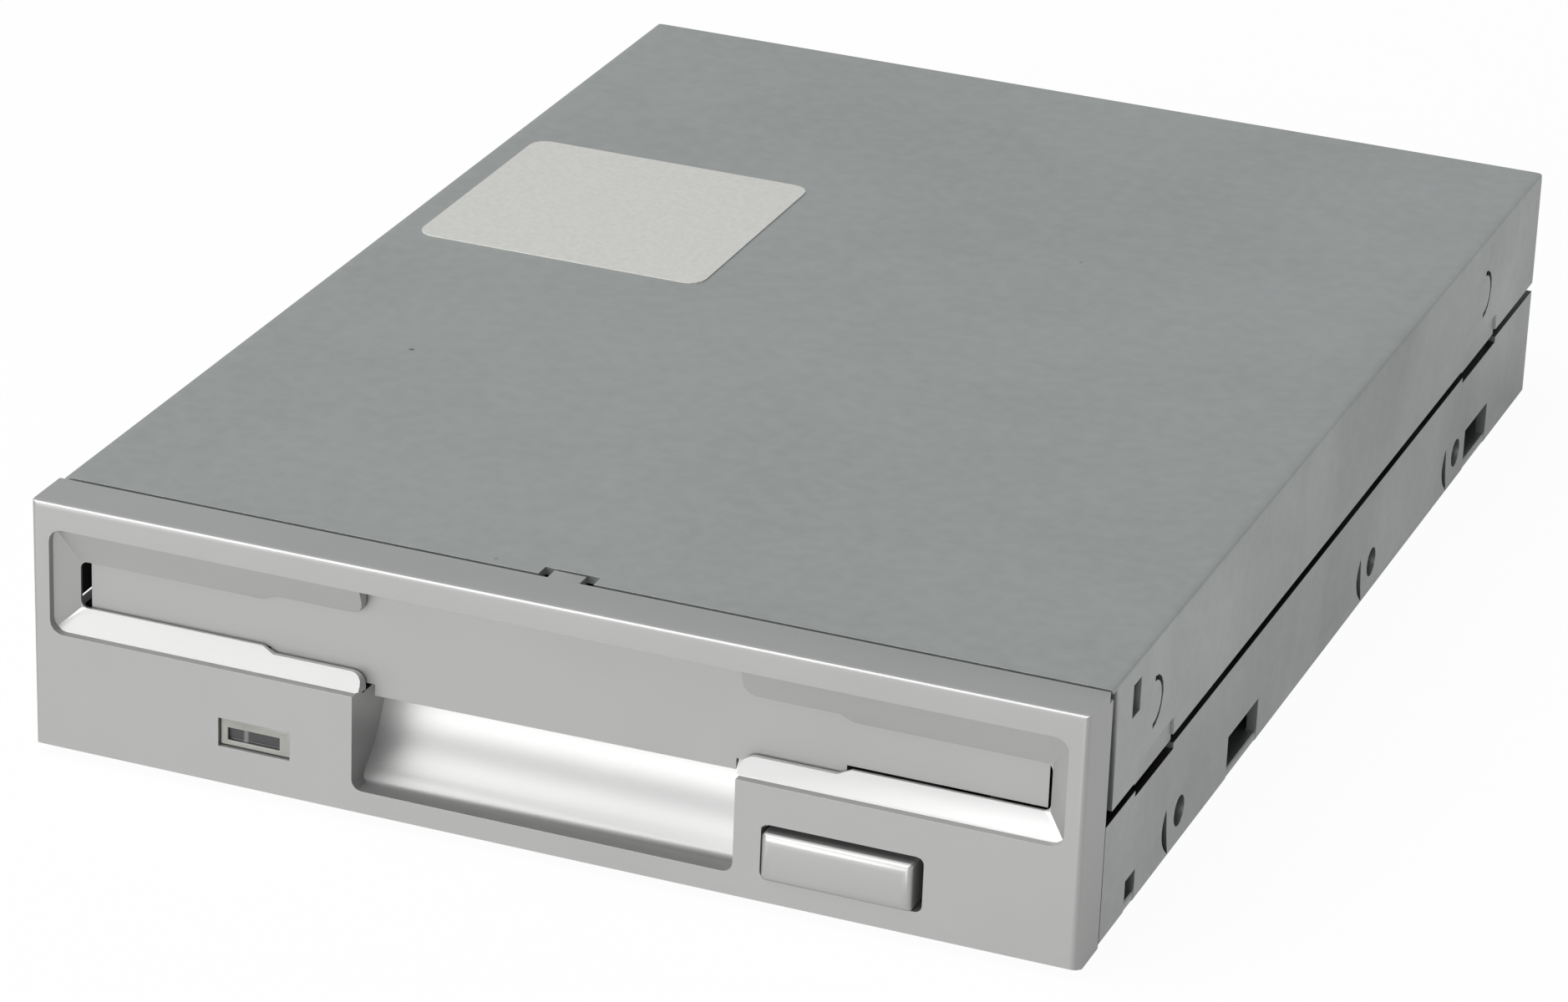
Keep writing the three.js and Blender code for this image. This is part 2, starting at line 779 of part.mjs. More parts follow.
// The slot's opening, taller between its two slanted steps.
function slotFace() {
  const [half, run] = [slotHalfWidth - slotCorner, slotStepRun / 2];
  const [low, high] = [slotBottom - slotStepRise, slotTop + slotStepRise];
  return outline([
    ...arc(-half, slotBottom + slotCorner, slotCorner, 180, 270, cornerSteps),
    [-slotStepX - run, slotBottom],
    [-slotStepX + run, low],
    [slotStepX - run, low],
    [slotStepX + run, slotBottom],
    ...arc(half, slotBottom + slotCorner, slotCorner, 270, 360, cornerSteps),
    ...arc(half, slotTop - slotCorner, slotCorner, 0, 90, cornerSteps),
    [slotStepX + run, slotTop],
    [slotStepX - run, high],
    [-slotStepX + run, high],
    [-slotStepX - run, slotTop],
    ...arc(-half, slotTop - slotCorner, slotCorner, 90, 180, cornerSteps),
  ]);
}

// What rounds the inner corners of the frame's four ends, beside the middle opening.
function frameEndCuts() {
  const edges = [[slotBottom - slotStepRise, -1], [slotTop + slotStepRise, 1]];
  return [-1, 1].flatMap((side) => edges.map(([edge, way]) => {
    const [x, z] = [side * (frameEndX + frameEndRadius), edge + way * frameEndRadius];
    const [x0, x1] = [x, side * (frameEndX - seatGap)].sort((a, b) => a - b);
    const [z0, z1] = [z, edge - way * seatGap].sort((a, b) => a - b);
    const corner = block(x0, x1, -overrun, bezelFrontWall + overrun, z0, z1);
    return cut(corner, bar("y", x, z, frameEndRadius, -overrun * 2, bezelFrontWall + overrun * 2));
  }));
}

// The flap closes the slot from behind. Its two moulded pins turn in the bezel's ears.
function doorFlap() {
  const face = outline([
    [-doorHalfWidth, doorSideBottom],
    [-slotStepX, doorSideBottom],
    [-slotStepX, doorStepBottom],
    [-doorMiddleHalf, doorStepBottom],
    [-doorMiddleHalf, doorMiddleBottom],
    [doorMiddleHalf, doorMiddleBottom],
    [doorMiddleHalf, doorStepBottom],
    [slotStepX, doorStepBottom],
    [slotStepX, doorSideBottom],
    [doorHalfWidth, doorSideBottom],
    [doorHalfWidth, doorTop],
    [-doorHalfWidth, doorTop],
  ]);
  const pinEnd = doorHalfWidth + doorPinLength;
  const pocketEnd = doorCoilX + doorCoilTurns * doorCoilPitch + runningGap * 2;
  const pocket = block(
    doorCoilX - runningGap * 2, pocketEnd, doorFront + doorPocketSkin, bezelSideDepth,
    doorAxisHeight - doorCoilRadius - runningGap * 2, doorTop + doorBarrelRadius,
  );
  const leaf = join(
    push(face, "y", doorFront, doorFront + doorThickness),
    bar("x", doorAxisDepth, doorAxisHeight, doorBarrelRadius, -doorHalfWidth, doorHalfWidth),
  );
  return cut(leaf, pocket).add(bar("x", doorAxisDepth, doorAxisHeight, doorPinRadius, -pinEnd, pinEnd));
}

// Turns of a wound wire about a line along an axis, as points. Negative turns run the other way round.
function curls(axis, start, radius, turns, pitch, firstAngle = 0) {
  const count = Math.ceil(Math.abs(turns) * curlSteps);
  return Array.from({ length: count + 1 }, (_, i) => {
    const angle = (2 * Math.PI * turns * i) / count + firstAngle;
    const along = (pitch * Math.abs(turns) * i) / count;
    const [a, b] = [radius * Math.cos(angle), radius * Math.sin(angle)];
    if (axis === "x") return new THREE.Vector3(start[0] + along, start[1] + a, start[2] + b);
    if (axis === "y") return new THREE.Vector3(start[0] + a, start[1] + along, start[2] + b);
    return new THREE.Vector3(start[0] + a, start[1] + b, start[2] + along);
  });
}

// The least gap between two stretches of a wound wire that lie more than half a turn apart.
function leastSelfGap(points, radius) {
  let least = Infinity;
  for (let i = 0; i < points.length; i += 1) {
    for (let k = i + curlSteps / 2 + 1; k < points.length; k += 1) {
      least = Math.min(least, points[i].distanceTo(points[k]) - 2 * radius);
    }
  }
  return least;
}

function woundSpring(name, points, thickness) {
  console.log(`${name}: least gap between turns ${leastSelfGap(points, thickness / 2).toFixed(2)} mm`);
  return wire(points, thickness / 2);
}

// The flap's spring is wound round its left pin. One leg bears on the flap, the other on the bezel.
function doorSpring() {
  const turns = curls(
    "x", [doorCoilX, doorAxisDepth, doorAxisHeight], doorCoilRadius, doorCoilTurns, doorCoilPitch,
  );
  const first = turns[0];
  const last = turns[turns.length - 1];
  const flapLeg = new THREE.Vector3(first.x, first.y, first.z - doorLeg);
  const bezelLeg = new THREE.Vector3(last.x, last.y + doorLeg / 3, last.z + doorCoilRadius);
  return woundSpring("door_spring", [flapLeg, ...turns, bezelLeg], doorWire);
}

// The light guide fills the window of the bezel and leads back to the lamp on the motor board.
function lightGuide() {
  const [left, right] = [windowLeft + seatGap, windowRight - seatGap];
  const [bottom, top] = [windowBottom + seatGap, windowTop - seatGap];
  const flangeFront = bezelFrontWall + seatGap;
  const flangeRear = flangeFront + windowRim;
  return cut(
    join(
      block(left, right, 0, flangeRear, bottom, top),
      block(left - windowRim, right + windowRim, flangeFront, flangeRear, bottom - windowRim,
        top + windowRim),
      block(left + windowRim * 2, right - windowRim * 2, flangeFront, motorBoardFront, bottom, top),
    ),
    block(left + windowRim, right - windowRim, -overrun, windowSink, bottom + windowRim, top - windowRim),
  );
}

function lamp() {
  const middle = (windowLeft + windowRight) / 2;
  const height = (windowBottom + windowTop) / 2;
  const radius = (windowTop - windowBottom) / 2;
  const front = motorBoardFront + lampGap;
  return join(
    bar("y", middle, height, radius, front, front + lampDepth),
    block(middle - radius / 2, middle + radius / 2, front + lampDepth / 2, front + lampDepth, motorBoardTop,
      height),
  );
}

function ejectButton() {
  const front = -buttonProud;
  const rear = buttonLength + front;
  const side = outline([
    [rear, buttonBottom],
    [rear, buttonTop],
    ...arc(front + buttonEdge, buttonTop - buttonEdge, buttonEdge, 90, 180, cornerSteps),
    ...arc(front + buttonEdge, buttonBottom + buttonEdge, buttonEdge, 180, 270, cornerSteps),
  ]);
  const plan = roundedRectangle(buttonLeft, buttonRight, front, rear, buttonEdge);
  const body = push(side, "x", buttonLeft, buttonRight).intersect(push(plan, "z", 0, bodyHeight));
  return cut(
    body,
    block(armLeft - seatGap, armRight + seatGap, rear - armGrip - seatGap, rear + overrun,
      armHeight - seatGap, armHeight + slideSheet + seatGap),
  );
}

// The cover is one folded sheet with a skirt down each side and one at the back.
function topCover() {
  const inner = halfWidth - coverSheet;
  const bendTop = coverTop - coverBend;
  const innerBend = coverBend - coverSheet;
  const section = outline([
    [halfWidth, coverSkirtBottom],
    ...arc(halfWidth - coverBend, bendTop, coverBend, 0, 90, cornerSteps),
    ...arc(-halfWidth + coverBend, bendTop, coverBend, 90, 180, cornerSteps),
    [-halfWidth, coverSkirtBottom],
    [-inner, coverSkirtBottom],
    ...arc(-inner + innerBend, bendTop, innerBend, 180, 90, cornerSteps),
    ...arc(inner - innerBend, bendTop, innerBend, 90, 0, cornerSteps),
    [inner, coverSkirtBottom],
  ]);
  const folded = push(section, "y", coverSkirtFront, bodyDepth);
  const tongue = push(section, "y", coverFront, coverSkirtFront + overrun).intersect(
    block(-halfWidth, halfWidth, 0, bodyDepth, coverUnder, coverTop),
  );
  const backSkirt = block(-inner - seatGap, inner + seatGap, bodyDepth - coverSheet, bodyDepth,
    coverRearBottom, coverUnder + seatGap);
  const tabs = tabFronts.flatMap((front) => [
    ...pair(halfWidth - coverSheet - tabInset, halfWidth, front, front + tabLength, coverSkirtBottom,
      coverSkirtBottom + coverSheet),
    ...pair(halfWidth - coverSheet - tabInset, halfWidth - tabInset, front, front + tabLength, tabBottom,
      coverSkirtBottom + coverSheet),
  ]);
  const slots = pair(inner - overrun, halfWidth + overrun, skirtSlotFront, skirtSlotFront + skirtSlotLength,
    skirtSlotBottom, skirtSlotBottom + skirtSlotHeight);
  const tongues = tongueCentres.flatMap((middle) => tongueCut(middle));
  const drops = joggles.flatMap(([front, length]) =>
    pair(inner, halfWidth, front, front + length, coverSkirtBottom - joggleDrop,
      coverSkirtBottom + seatGap),
  );
  const sinks = joggles.flatMap(([front, length]) =>
    pair(halfWidth - joggleSink, halfWidth + overrun, front, front + length, tabBottom,
      coverSkirtBottom - joggleDrop + joggleHeight),
  );
  const notch = block(coverNotchLeft, coverNotchRight, coverFront - overrun, coverNotchDepth,
    coverUnder - overrun, coverTop + overrun);
  return cut(join(folded, tongue, backSkirt, tabs, drops), slots, tongues, sinks, notch);
}

// The cut round a half-round tongue lanced in both skirts: a ring open towards the front.
function tongueCut(middle) {
  const outer = tongueRadius + tongueGap;
  const ring = [
    ...arc(middle, tongueMiddle, outer, -90, 90, smallSides / 2),
    ...arc(middle, tongueMiddle, tongueRadius, 90, -90, smallSides / 2),
  ];
  const shape = outline(ring);
  const inner = halfWidth - coverSheet - overrun;
  return [push(shape, "x", inner, halfWidth + overrun), push(shape, "x", -halfWidth - overrun, -inner)];
}

function coverLabel() {
  const shape = roundedRectangle(labelLeft, labelRight, labelFront, labelRear, labelCorner);
  return push(shape, "z", coverTop, coverTop + labelThickness);
}

// The chassis is a pressed tray. Its side walls carry the mounting holes, and tabs bent inwards at their
// top have the upright slots that guide the holder's pins.
function chassisTray() {
  const inner = halfWidth - chassisSheet;
  const floorBend = chassisSheet + chassisInnerRadius;
  const section = outline([
    [-halfWidth, chassisWallTop],
    ...arc(-halfWidth + chassisBend, chassisBend, chassisBend, 180, 270, cornerSteps),
    ...arc(halfWidth - chassisBend, chassisBend, chassisBend, 270, 360, cornerSteps),
    [halfWidth, chassisWallTop],
    [inner, chassisWallTop],
    ...arc(inner - chassisInnerRadius, floorBend, chassisInnerRadius, 360, 270, cornerSteps),
    ...arc(chassisInnerRadius - inner, floorBend, chassisInnerRadius, 270, 180, cornerSteps),
    [-inner, chassisWallTop],
  ]);
  const tray = push(section, "y", chassisFront, bodyDepth);
  const rearLip = block(-inner, inner, bodyDepth - chassisSheet, bodyDepth, 0, chassisRearTop);
  const tabOuter = halfWidth - guideTabInset;
  const tabInner = tabOuter - chassisSheet;
  const tabs = pinPlaces.flatMap((place) => [
    ...pair(tabInner, halfWidth, place - guideTabHalf, place + guideTabHalf, chassisWallTop - chassisSheet,
      chassisWallTop),
    ...pair(tabInner, tabOuter, place - guideTabHalf, place + guideTabHalf, chassisWallTop - chassisSheet,
      guideTabTop),
  ]);
  const pinSlots = pinPlaces.flatMap((place) => {
    const half = pinRadius + trackClearance;
    return pair(tabInner - overrun, tabOuter + seatGap, place - half, place + half,
      pinHeight - diskDrop - half, guideTabTop + overrun);
  });
  const hooks = pair(hookX - hookHalf, hookX + hookHalf, hookDepth, hookDepth + chassisSheet, 0, hookTop);
  const sideHoles = sideHolePlaces().map((place) =>
    bar("x", place, sideHoleHeight, sideHoleRadius, -halfWidth - overrun, halfWidth + overrun),
  );
  const crescents = sideHolePlaces().flatMap((place) => crescentCut(place));
  const reliefs = joggles.flatMap(([front, length]) =>
    pair(inner - overrun, halfWidth + overrun, front - runningGap, front + length + runningGap,
      chassisWallTop - joggleDrop, chassisWallTop + seatGap),
  );
  const windows = bendWindows.flatMap(([front, length, height]) =>
    pair(halfWidth - bendWindowReach, halfWidth + overrun, front, front + length, -overrun, height),
  );
  const ventDepths = [spindleDepth - headTravel, spindleDepth + headTravel];
  const vents = [-floorVentX, 0, floorVentX].flatMap((x) =>
    x === 0 ? [] : ventDepths.map((y) => bar("z", x, y, floorVentRadius, -overrun, chassisSheet + overrun)),
  );
  return cut(
    join(tray, rearLip, tabs, hooks),
    pinSlots,
    sideHoles,
    crescents,
    reliefs,
    windows,
    vents,
  );
}

// The slit in front of a side hole, from its press tool: an arc that narrows to a point at both ends.
function crescentCut(place) {
  const outer = crescentReach;
  const half = outer * Math.sin(THREE.MathUtils.degToRad(crescentHalfAngle));
  const inset = outer * Math.cos(THREE.MathUtils.degToRad(crescentHalfAngle));
  const sagitta = outer - inset - crescentWidth;
  const inner = (half * half + sagitta * sagitta) / (sagitta * 2);
  const innerAngle = THREE.MathUtils.radToDeg(Math.asin(half / inner));
  const front = 180 + crescentTurn;
  const [[a, b]] = arc(place, sideHoleHeight, inner - inset - sagitta, crescentTurn, crescentTurn, 1);
  const steps = cornerSteps * 2;
  const shape = outline([
    ...arc(place, sideHoleHeight, outer, front - crescentHalfAngle, front + crescentHalfAngle, steps),
    ...arc(a, b, inner, front + innerAngle, front - innerAngle, steps).slice(1, -1),
  ]);
  const inside = halfWidth - chassisSheet - seatGap * 2;
  return [
    push(shape, "x", inside, halfWidth + overrun),
    push(shape, "x", -halfWidth - overrun, -inside),
  ];
}

function sideHolePlaces() {
  const second = sideHoleFirst + sideHolePitch;
  return [sideHoleFirst, second, second + sideHoleRearPitch];
}

// The holder is a flat sleeve for the disk: a top plate, two sides and a flange under each edge.
function diskHolder() {
  const under = holderTop - holderSheet;
  const inner = holderHalfWidth - holderSheet;
  const plate = block(-holderHalfWidth, holderHalfWidth, holderFront, holderRear, under, holderTop);
  const flangeTop = diskRaised - seatGap;
  const flangeBottom = flangeTop - holderSheet;
  const sides = pair(inner, holderHalfWidth, holderFront, holderSideRear, flangeBottom, under + seatGap);
  const flanges = pair(holderHalfWidth - holderFlange, holderHalfWidth, holderFront, holderSideRear,
    flangeBottom, flangeTop);
  const frontNotch = block(-holderFrontNotchHalf, holderFrontNotchHalf, holderFront - overrun,
    holderFront + holderFrontNotch, under - overrun, holderTop + overrun);
  const armSlot = block(-armSlotHalf, armSlotHalf, armSlotFront, holderRear + overrun, under - overrun,
    holderTop + overrun);
  const half = pegRadius + runningGap;
  const ease = THREE.MathUtils.radToDeg(Math.asin(half / leverLength));
  const from = leverRestAngle - ease;
  const to = leverRestAngle + leverSwing + ease;
  const pegSlot = outline([
    ...arc(leverPivotX, leverPivotDepth, leverLength + half, from, to, smallSides),
    ...arc(leverPivotX, leverPivotDepth, leverLength - half, to, from, smallSides),
  ]);
  const tabX = leverPivotX - leverLeg;
  const springTab = block(tabX - holderSheet, tabX, leverPivotDepth - leverHub, leverPivotDepth,
    holderTop, holderTop + leverSheet + leverTabHeight - leverWire);
  return cut(
    join(plate, sides, flanges, springTab),
    frontNotch,
    armSlot,
    push(pegSlot, "z", under - overrun, holderTop + overrun),
  );
}

function holderPin(side, place) {
  const from = holderHalfWidth;
  const to = halfWidth - guideTabInset - pinEndGap;
  return side > 0
    ? bar("x", place, pinHeight, pinRadius, from, to)
    : bar("x", place, pinHeight, pinRadius, -to, -from);
}

// Where the lever's peg stands at rest.
function pegPlace() {
  const angle = THREE.MathUtils.degToRad(leverRestAngle);
  return [leverPivotX + leverLength * Math.cos(angle), leverPivotDepth + leverLength * Math.sin(angle)];
}

// The shutter lever tapers from its hub to its tip and has a small tab for its spring.
function shutterLever() {
  const bottom = holderTop + seatGap;
  const top = bottom + leverSheet;
  const shape = new THREE.Shape();
  const hub = arc(0, 0, leverHub, 100, 260, smallSides);
  const tip = arc(leverLength, 0, leverTip, -80, 80, smallSides);
  [...hub, ...tip].forEach(([a, b], i) => (i ? shape.lineTo(a, b) : shape.moveTo(a, b)));
  const geometry = new THREE.ExtrudeGeometry(shape, { depth: leverSheet, bevelEnabled: false });
  geometry.rotateZ(THREE.MathUtils.degToRad(leverRestAngle));
  geometry.translate(leverPivotX, leverPivotDepth, bottom);
  const [pegX, pegY] = pegPlace();
  const hole = bar("z", leverPivotX, leverPivotDepth, pivotRadius + seatGap, bottom - overrun, top + overrun);
  const pegHole = bar("z", pegX, pegY, pegRadius / 2, bottom - overrun, top + overrun);
  const angle = THREE.MathUtils.degToRad(leverRestAngle);
  const aside = leverCoilRadius - leverSheet - seatGap * 2;
  const [tabX, tabY] = [
    leverPivotX + leverLeg * Math.cos(angle) + aside * Math.sin(angle),
    leverPivotDepth + leverLeg * Math.sin(angle) - aside * Math.cos(angle),
  ];
  const half = leverSheet / 2;
  const tab = block(tabX - half, tabX + half, tabY - leverSheet, tabY + leverSheet, bottom,
    top + leverTabHeight);
  return cut(solid(geometry).add(tab), hole, pegHole);
}

// The peg is riveted through the lever's tip and hangs through the holder's curved slot.
function leverPeg() {
  const [x, y] = pegPlace();
  const leverBottom = holderTop + seatGap;
  const end = holderTop - pegReach;
  return turned([[0, end], [pegRadius, end], [pegRadius, leverBottom], [pegRadius / 2, leverBottom],
    [pegRadius / 2, leverBottom + leverSheet + seatGap], [0, leverBottom + leverSheet + seatGap]], x, y,
  smallSides);
}

function leverPivot() {
  const top = holderTop + pivotTop;
  const leverTop = holderTop + leverSheet + seatGap * 2;
  return turned([[0, holderTop], [pivotRadius, holderTop], [pivotRadius, top], [0, top]], leverPivotX,
    leverPivotDepth, smallSides).add(
    turned([[0, leverTop], [pivotHeadRadius, leverTop], [pivotHeadRadius, leverTop + leverWire],
      [0, leverTop + leverWire]], leverPivotX, leverPivotDepth, smallSides),
  );
}

// A torsion spring round the pivot draws the lever back to its rest. One leg lies along the lever, and
// the coil goes on until the other leg points straight at the holder's tab.
function leverSpring() {
  const base = holderTop + leverSheet + seatGap * 2 + leverWire * leverCoilLiftShare;
  const angle = THREE.MathUtils.degToRad(leverRestAngle);
  const wound = leverCoilTurns + leverRestAngle / 360;
  const turns = curls("z", [leverPivotX, leverPivotDepth, base], leverCoilRadius, -wound,
    leverCoilGap + leverWire, angle - Math.PI / 2);
  const first = turns[0];
  const last = turns[turns.length - 1];
  const reach = leverLeg * leverReachShare;
  const leverEnd = new THREE.Vector3(
    first.x + reach * Math.cos(angle), first.y + reach * Math.sin(angle), first.z,
  );
  const holderEnd = new THREE.Vector3(leverPivotX - reach, last.y, last.z);
  return woundSpring("lever_spring", [leverEnd, ...turns, holderEnd], leverWire);
}

// The slide plate lies under the holder: two rails, a cross bar, upright sides with the slanted slots,
// and the arm that reaches down to the button.
function slidePlate() {
  const top = slideFloor + slideSheet;
  const wallInner = slideOuter - slideSheet;
  const rails = pair(slideInner, slideOuter, slideFront, slideRear, slideFloor, top);
  const walls = pair(wallInner, slideOuter, slideFront, slideRear, slideFloor, slideWallTop);
  const crossBar = block(-slideOuter, slideOuter, slideBarFront, slideBarRear, slideFloor, top);
  const legFront = slideFront - slideSheet;
  const armEnd = buttonLength - buttonProud - armGrip;
  const armPieces = [
    block(armLeft, armRight, legFront, slideBarRear, slideFloor, top),
    block(armLeft, armRight, legFront, slideFront, armHeight, top),
    block(armLeft, armRight, armEnd, slideFront, armHeight, armHeight + slideSheet),
  ];
  const springTabs = pair(hookX - hookHalf, hookX + hookHalf, springTabDepth, springTabDepth + slideSheet,
    slideFloor - springTabDrop, top);
  const half = pinRadius + trackClearance;
  const rise = diskDrop;
  const slantedSlots = pinPlaces.flatMap((place) => {
    const slope = Math.atan2(-rise, slideTravel);
    const degrees = THREE.MathUtils.radToDeg(slope);
    const shape = outline([
      ...arc(place, pinHeight, half, degrees + 90, degrees + 270, smallSides / 2),
      ...arc(place + slideTravel, pinHeight - rise, half, degrees - 90, degrees + 90, smallSides / 2),
    ]);
    return [
      push(shape, "x", wallInner - overrun, slideOuter + overrun),
      push(shape, "x", -slideOuter - overrun, -wallInner + overrun),
    ];
  });
  const neck = postNeck + trackClearance;
  const postSlots = postPlaces.flatMap((place) =>
    [-postX, postX].map((x) => {
      const shape = outline([
        ...arc(x, place, neck, 180, 360, smallSides / 2),
        ...arc(x, place + slideTravel, neck, 0, 180, smallSides / 2),
      ]);
      return push(shape, "z", slideFloor - overrun, top + overrun);
    }),
  );
  return cut(join(rails, walls, crossBar, armPieces, springTabs), slantedSlots, postSlots);
}

// A post stands on the chassis floor. The slide plate rests on its shoulder and runs along its neck.
function slidePost(x, place) {
  const neckTop = slideFloor + slideSheet + trackClearance;
  const profile = [[0, floorTop], [postRadius, floorTop], [postRadius, slideFloor], [postNeck, slideFloor],
    [postNeck, neckTop], [postRadius, neckTop], [postRadius, neckTop + postHead], [0, neckTop + postHead]];
  return turned(profile, x, place, smallSides);
}

// A return spring is held between a hook of the chassis and a tab of the slide plate.
function slideSpring(name, x) {
  const hookBack = hookDepth + chassisSheet;
  const free = springTabDepth - hookBack;
  const lead = springWire * 3;
  const pitch = (free - lead * 2) / springTurns;
  const turns = curls("y", [x, hookBack + lead, springHeight], springRadius, springTurns, pitch);
  const first = turns[0];
  const last = turns[turns.length - 1];
  const front = new THREE.Vector3(first.x, hookBack + seatGap, first.z);
  const back = new THREE.Vector3(last.x, springTabDepth - seatGap, last.z);
  const rise = slideFloor - springTabDrop + springWire - last.z;
  const knee = new THREE.Vector3(last.x, springTabDepth - springWire * 2, last.z + rise);
  return woundSpring(name, [front, ...turns, knee, new THREE.Vector3(back.x, back.y, knee.z)], springWire);
}

// The motor board carries the spindle motor, the switches and the lamp.
function motorBoard() {
  const shape = outline([
    [-boardWingHalf, motorBoardFront],
    [boardWingHalf, motorBoardFront],
    [boardWingHalf, boardWingRear],
    [motorBoardHalf, boardWingRear],
    [motorBoardHalf, motorBoardRear],
    [-motorBoardHalf, motorBoardRear],
    [-motorBoardHalf, boardWingRear],
    [-boardWingHalf, boardWingRear],
  ]);
  const clampNotch = block(
    rodX - rodClampHalf - runningGap, rodX + rodClampHalf + runningGap,
    rodFront - runningGap, motorBoardRear + overrun, floorTop - overrun, motorBoardTop + overrun,
  );
  return cut(push(shape, "z", floorTop, motorBoardTop), clampNotch);
}

function spindleBearing() {
  const flangeTop = motorBoardTop + bearingFlangeHeight;
  return turned([
    [bearingBore, motorBoardTop],
    [bearingFlange, motorBoardTop],
    [bearingFlange, flangeTop],
    [bearingBarrel, flangeTop],
    [bearingBarrel, bearingTop],
    [bearingBore, bearingTop],
    [bearingBore, motorBoardTop],
  ], 0, spindleDepth);
}

// The stator is a stack of sheets with one pole for each winding, drawn with its windings on.
function stator() {
  const yoke = turned([
    [statorInner, motorBoardTop + bearingFlangeHeight],
    [statorYoke, motorBoardTop + bearingFlangeHeight],
    [statorYoke, statorTop],
    [statorInner, statorTop],
    [statorInner, motorBoardTop + bearingFlangeHeight],
  ], 0, spindleDepth);
  const poles = Array.from({ length: statorPoles }, (_, i) => {
    const angle = (360 * i) / statorPoles;
    const tipAngle = THREE.MathUtils.radToDeg(poleTip / statorOuter);
    const tipInner = statorOuter - poleTipDepth;
    const tip = outline([
      ...arc(0, 0, statorOuter, -tipAngle / 2, tipAngle / 2, 2),
      ...arc(0, 0, tipInner, tipAngle / 2, -tipAngle / 2, 2),
    ]);
    const neckShape = outline([
      [statorYoke - poleTipDepth, -poleNeck / 2],
      [tipInner + seatGap, -poleNeck / 2],
      [tipInner + seatGap, poleNeck / 2],
      [statorYoke - poleTipDepth, poleNeck / 2],
    ]);
    const place = (shape, bottom, top) => {
      const geometry = new THREE.ExtrudeGeometry(shape, { depth: top - bottom, bevelEnabled: false });
      geometry.rotateZ(THREE.MathUtils.degToRad(angle));
      geometry.translate(0, spindleDepth, bottom);
      return solid(geometry);
    };
    return place(tip, statorBottom, statorTop).add(place(neckShape, statorBottom, statorTop));
  });
  return join(yoke, poles);
}

// The rotor is a shallow cup over the stator, pressed on the hub's neck.
function rotorYoke() {
  const plateBottom = rotorTop - rotorPlate;
  return turned([
    [hubNeck / 2, plateBottom],
    [rotorOuter - rotorRim, plateBottom],
    [rotorOuter - rotorRim, rotorBottom],
    [rotorOuter, rotorBottom],
    [rotorOuter, rotorTop],
    [hubNeck / 2, rotorTop],
    [hubNeck / 2, plateBottom],
  ], 0, spindleDepth);
}

function ringMagnet() {
  const outer = rotorOuter - rotorRim - magnetInset;
  const inner = outer - magnetDepth;
  const top = rotorTop - rotorPlate - magnetInset;
  const bottom = rotorBottom + magnetInset;
  return turned([[inner, bottom], [outer, bottom], [outer, top], [inner, top], [inner, bottom]], 0,
    spindleDepth);
}

// Where the drive pin stands, on the hub's right.
const drivePlace = [driveRadius, spindleDepth];

function spindleHub() {
  const shaftBottom = motorBoardTop;
  const profile = [
    [0, shaftBottom],
    [shaftRadius, shaftBottom],
    [shaftRadius, rotorTop],
    [hubNeck, rotorTop],
    [hubNeck, hubNeckTop],
    [hubRadius, hubNeckTop],
    [hubRadius, hubTop],
    [hubMagnetOuter + seatGap, hubTop],
    [hubMagnetOuter + seatGap, hubTop - hubMagnetHeight],
    [noseRadius, hubTop - hubMagnetHeight],
    [noseRadius, noseTop - noseRadius / 4],
    [noseRadius * noseTipShare, noseTop],
    [0, noseTop],
  ];
  const hub = turned(profile, 0, spindleDepth);
  const pinHole = bar("z", drivePlace[0], drivePlace[1], drivePinRadius + runningGap, hubNeckTop - overrun,
    hubTop + overrun);
  return cut(hub, pinHole);
}

function hubMagnet() {
  const bottom = hubTop - hubMagnetHeight;
  const ring = turned([
    [hubMagnetInner, bottom],
    [hubMagnetOuter, bottom],
    [hubMagnetOuter, hubTop],
    [hubMagnetInner, hubTop],
    [hubMagnetInner, bottom],
  ], 0, spindleDepth);
  const pinHole = bar("z", drivePlace[0], drivePlace[1], drivePinRadius + runningGap, bottom - overrun,
    hubTop + overrun);
  return cut(ring, pinHole);
}

// The drive pin stands on a flat arm under the hub's plate, which lets it give way under the disk.
function drivePin() {
  const armTop = hubNeckTop - seatGap;
  const armBottom = armTop - driveArmSheet;
  const [x, y] = drivePlace;
  const inner = hubNeck + seatGap;
  return join(
    turned([[0, armBottom], [drivePinRadius, armBottom], [drivePinRadius, drivePinTop - drivePinRadius / 3],
      [drivePinRadius * drivePinTipShare, drivePinTop], [0, drivePinTop]], x, y, smallSides),
    block(inner, x, y - drivePinRadius, y + drivePinRadius, armBottom, armTop),
  );
}

function switchBody(side, place) {
  const x = side * switchX;
  const body = block(x - switchHalfX, x + switchHalfX, place - switchHalfDepth, place + switchHalfDepth,
    motorBoardTop, switchTop);
  const lidBottom = switchTop - plungerFlangeHeight;
  const wellBottom = lidBottom - plungerFlangeHeight - plungerTravel;
  const well = bar("z", x, place, plungerFlange + seatGap * 2, wellBottom, lidBottom + seatGap);
  const bore = bar("z", x, place, plungerRadius + seatGap * 2, lidBottom, switchTop + overrun);
  return cut(body, well, bore);
}

function switchPlunger(side, place) {
  const flangeTop = switchTop - plungerFlangeHeight - seatGap;
  return turned([
    [0, flangeTop - plungerFlangeHeight / 2],
    [plungerFlange, flangeTop - plungerFlangeHeight / 2],
    [plungerFlange, flangeTop],
    [plungerRadius, flangeTop],
    [plungerRadius, plungerTop - plungerRadius / 2],
    [plungerRadius / 2, plungerTop],
    [0, plungerTop],
  ], side * switchX, place, smallSides);
}

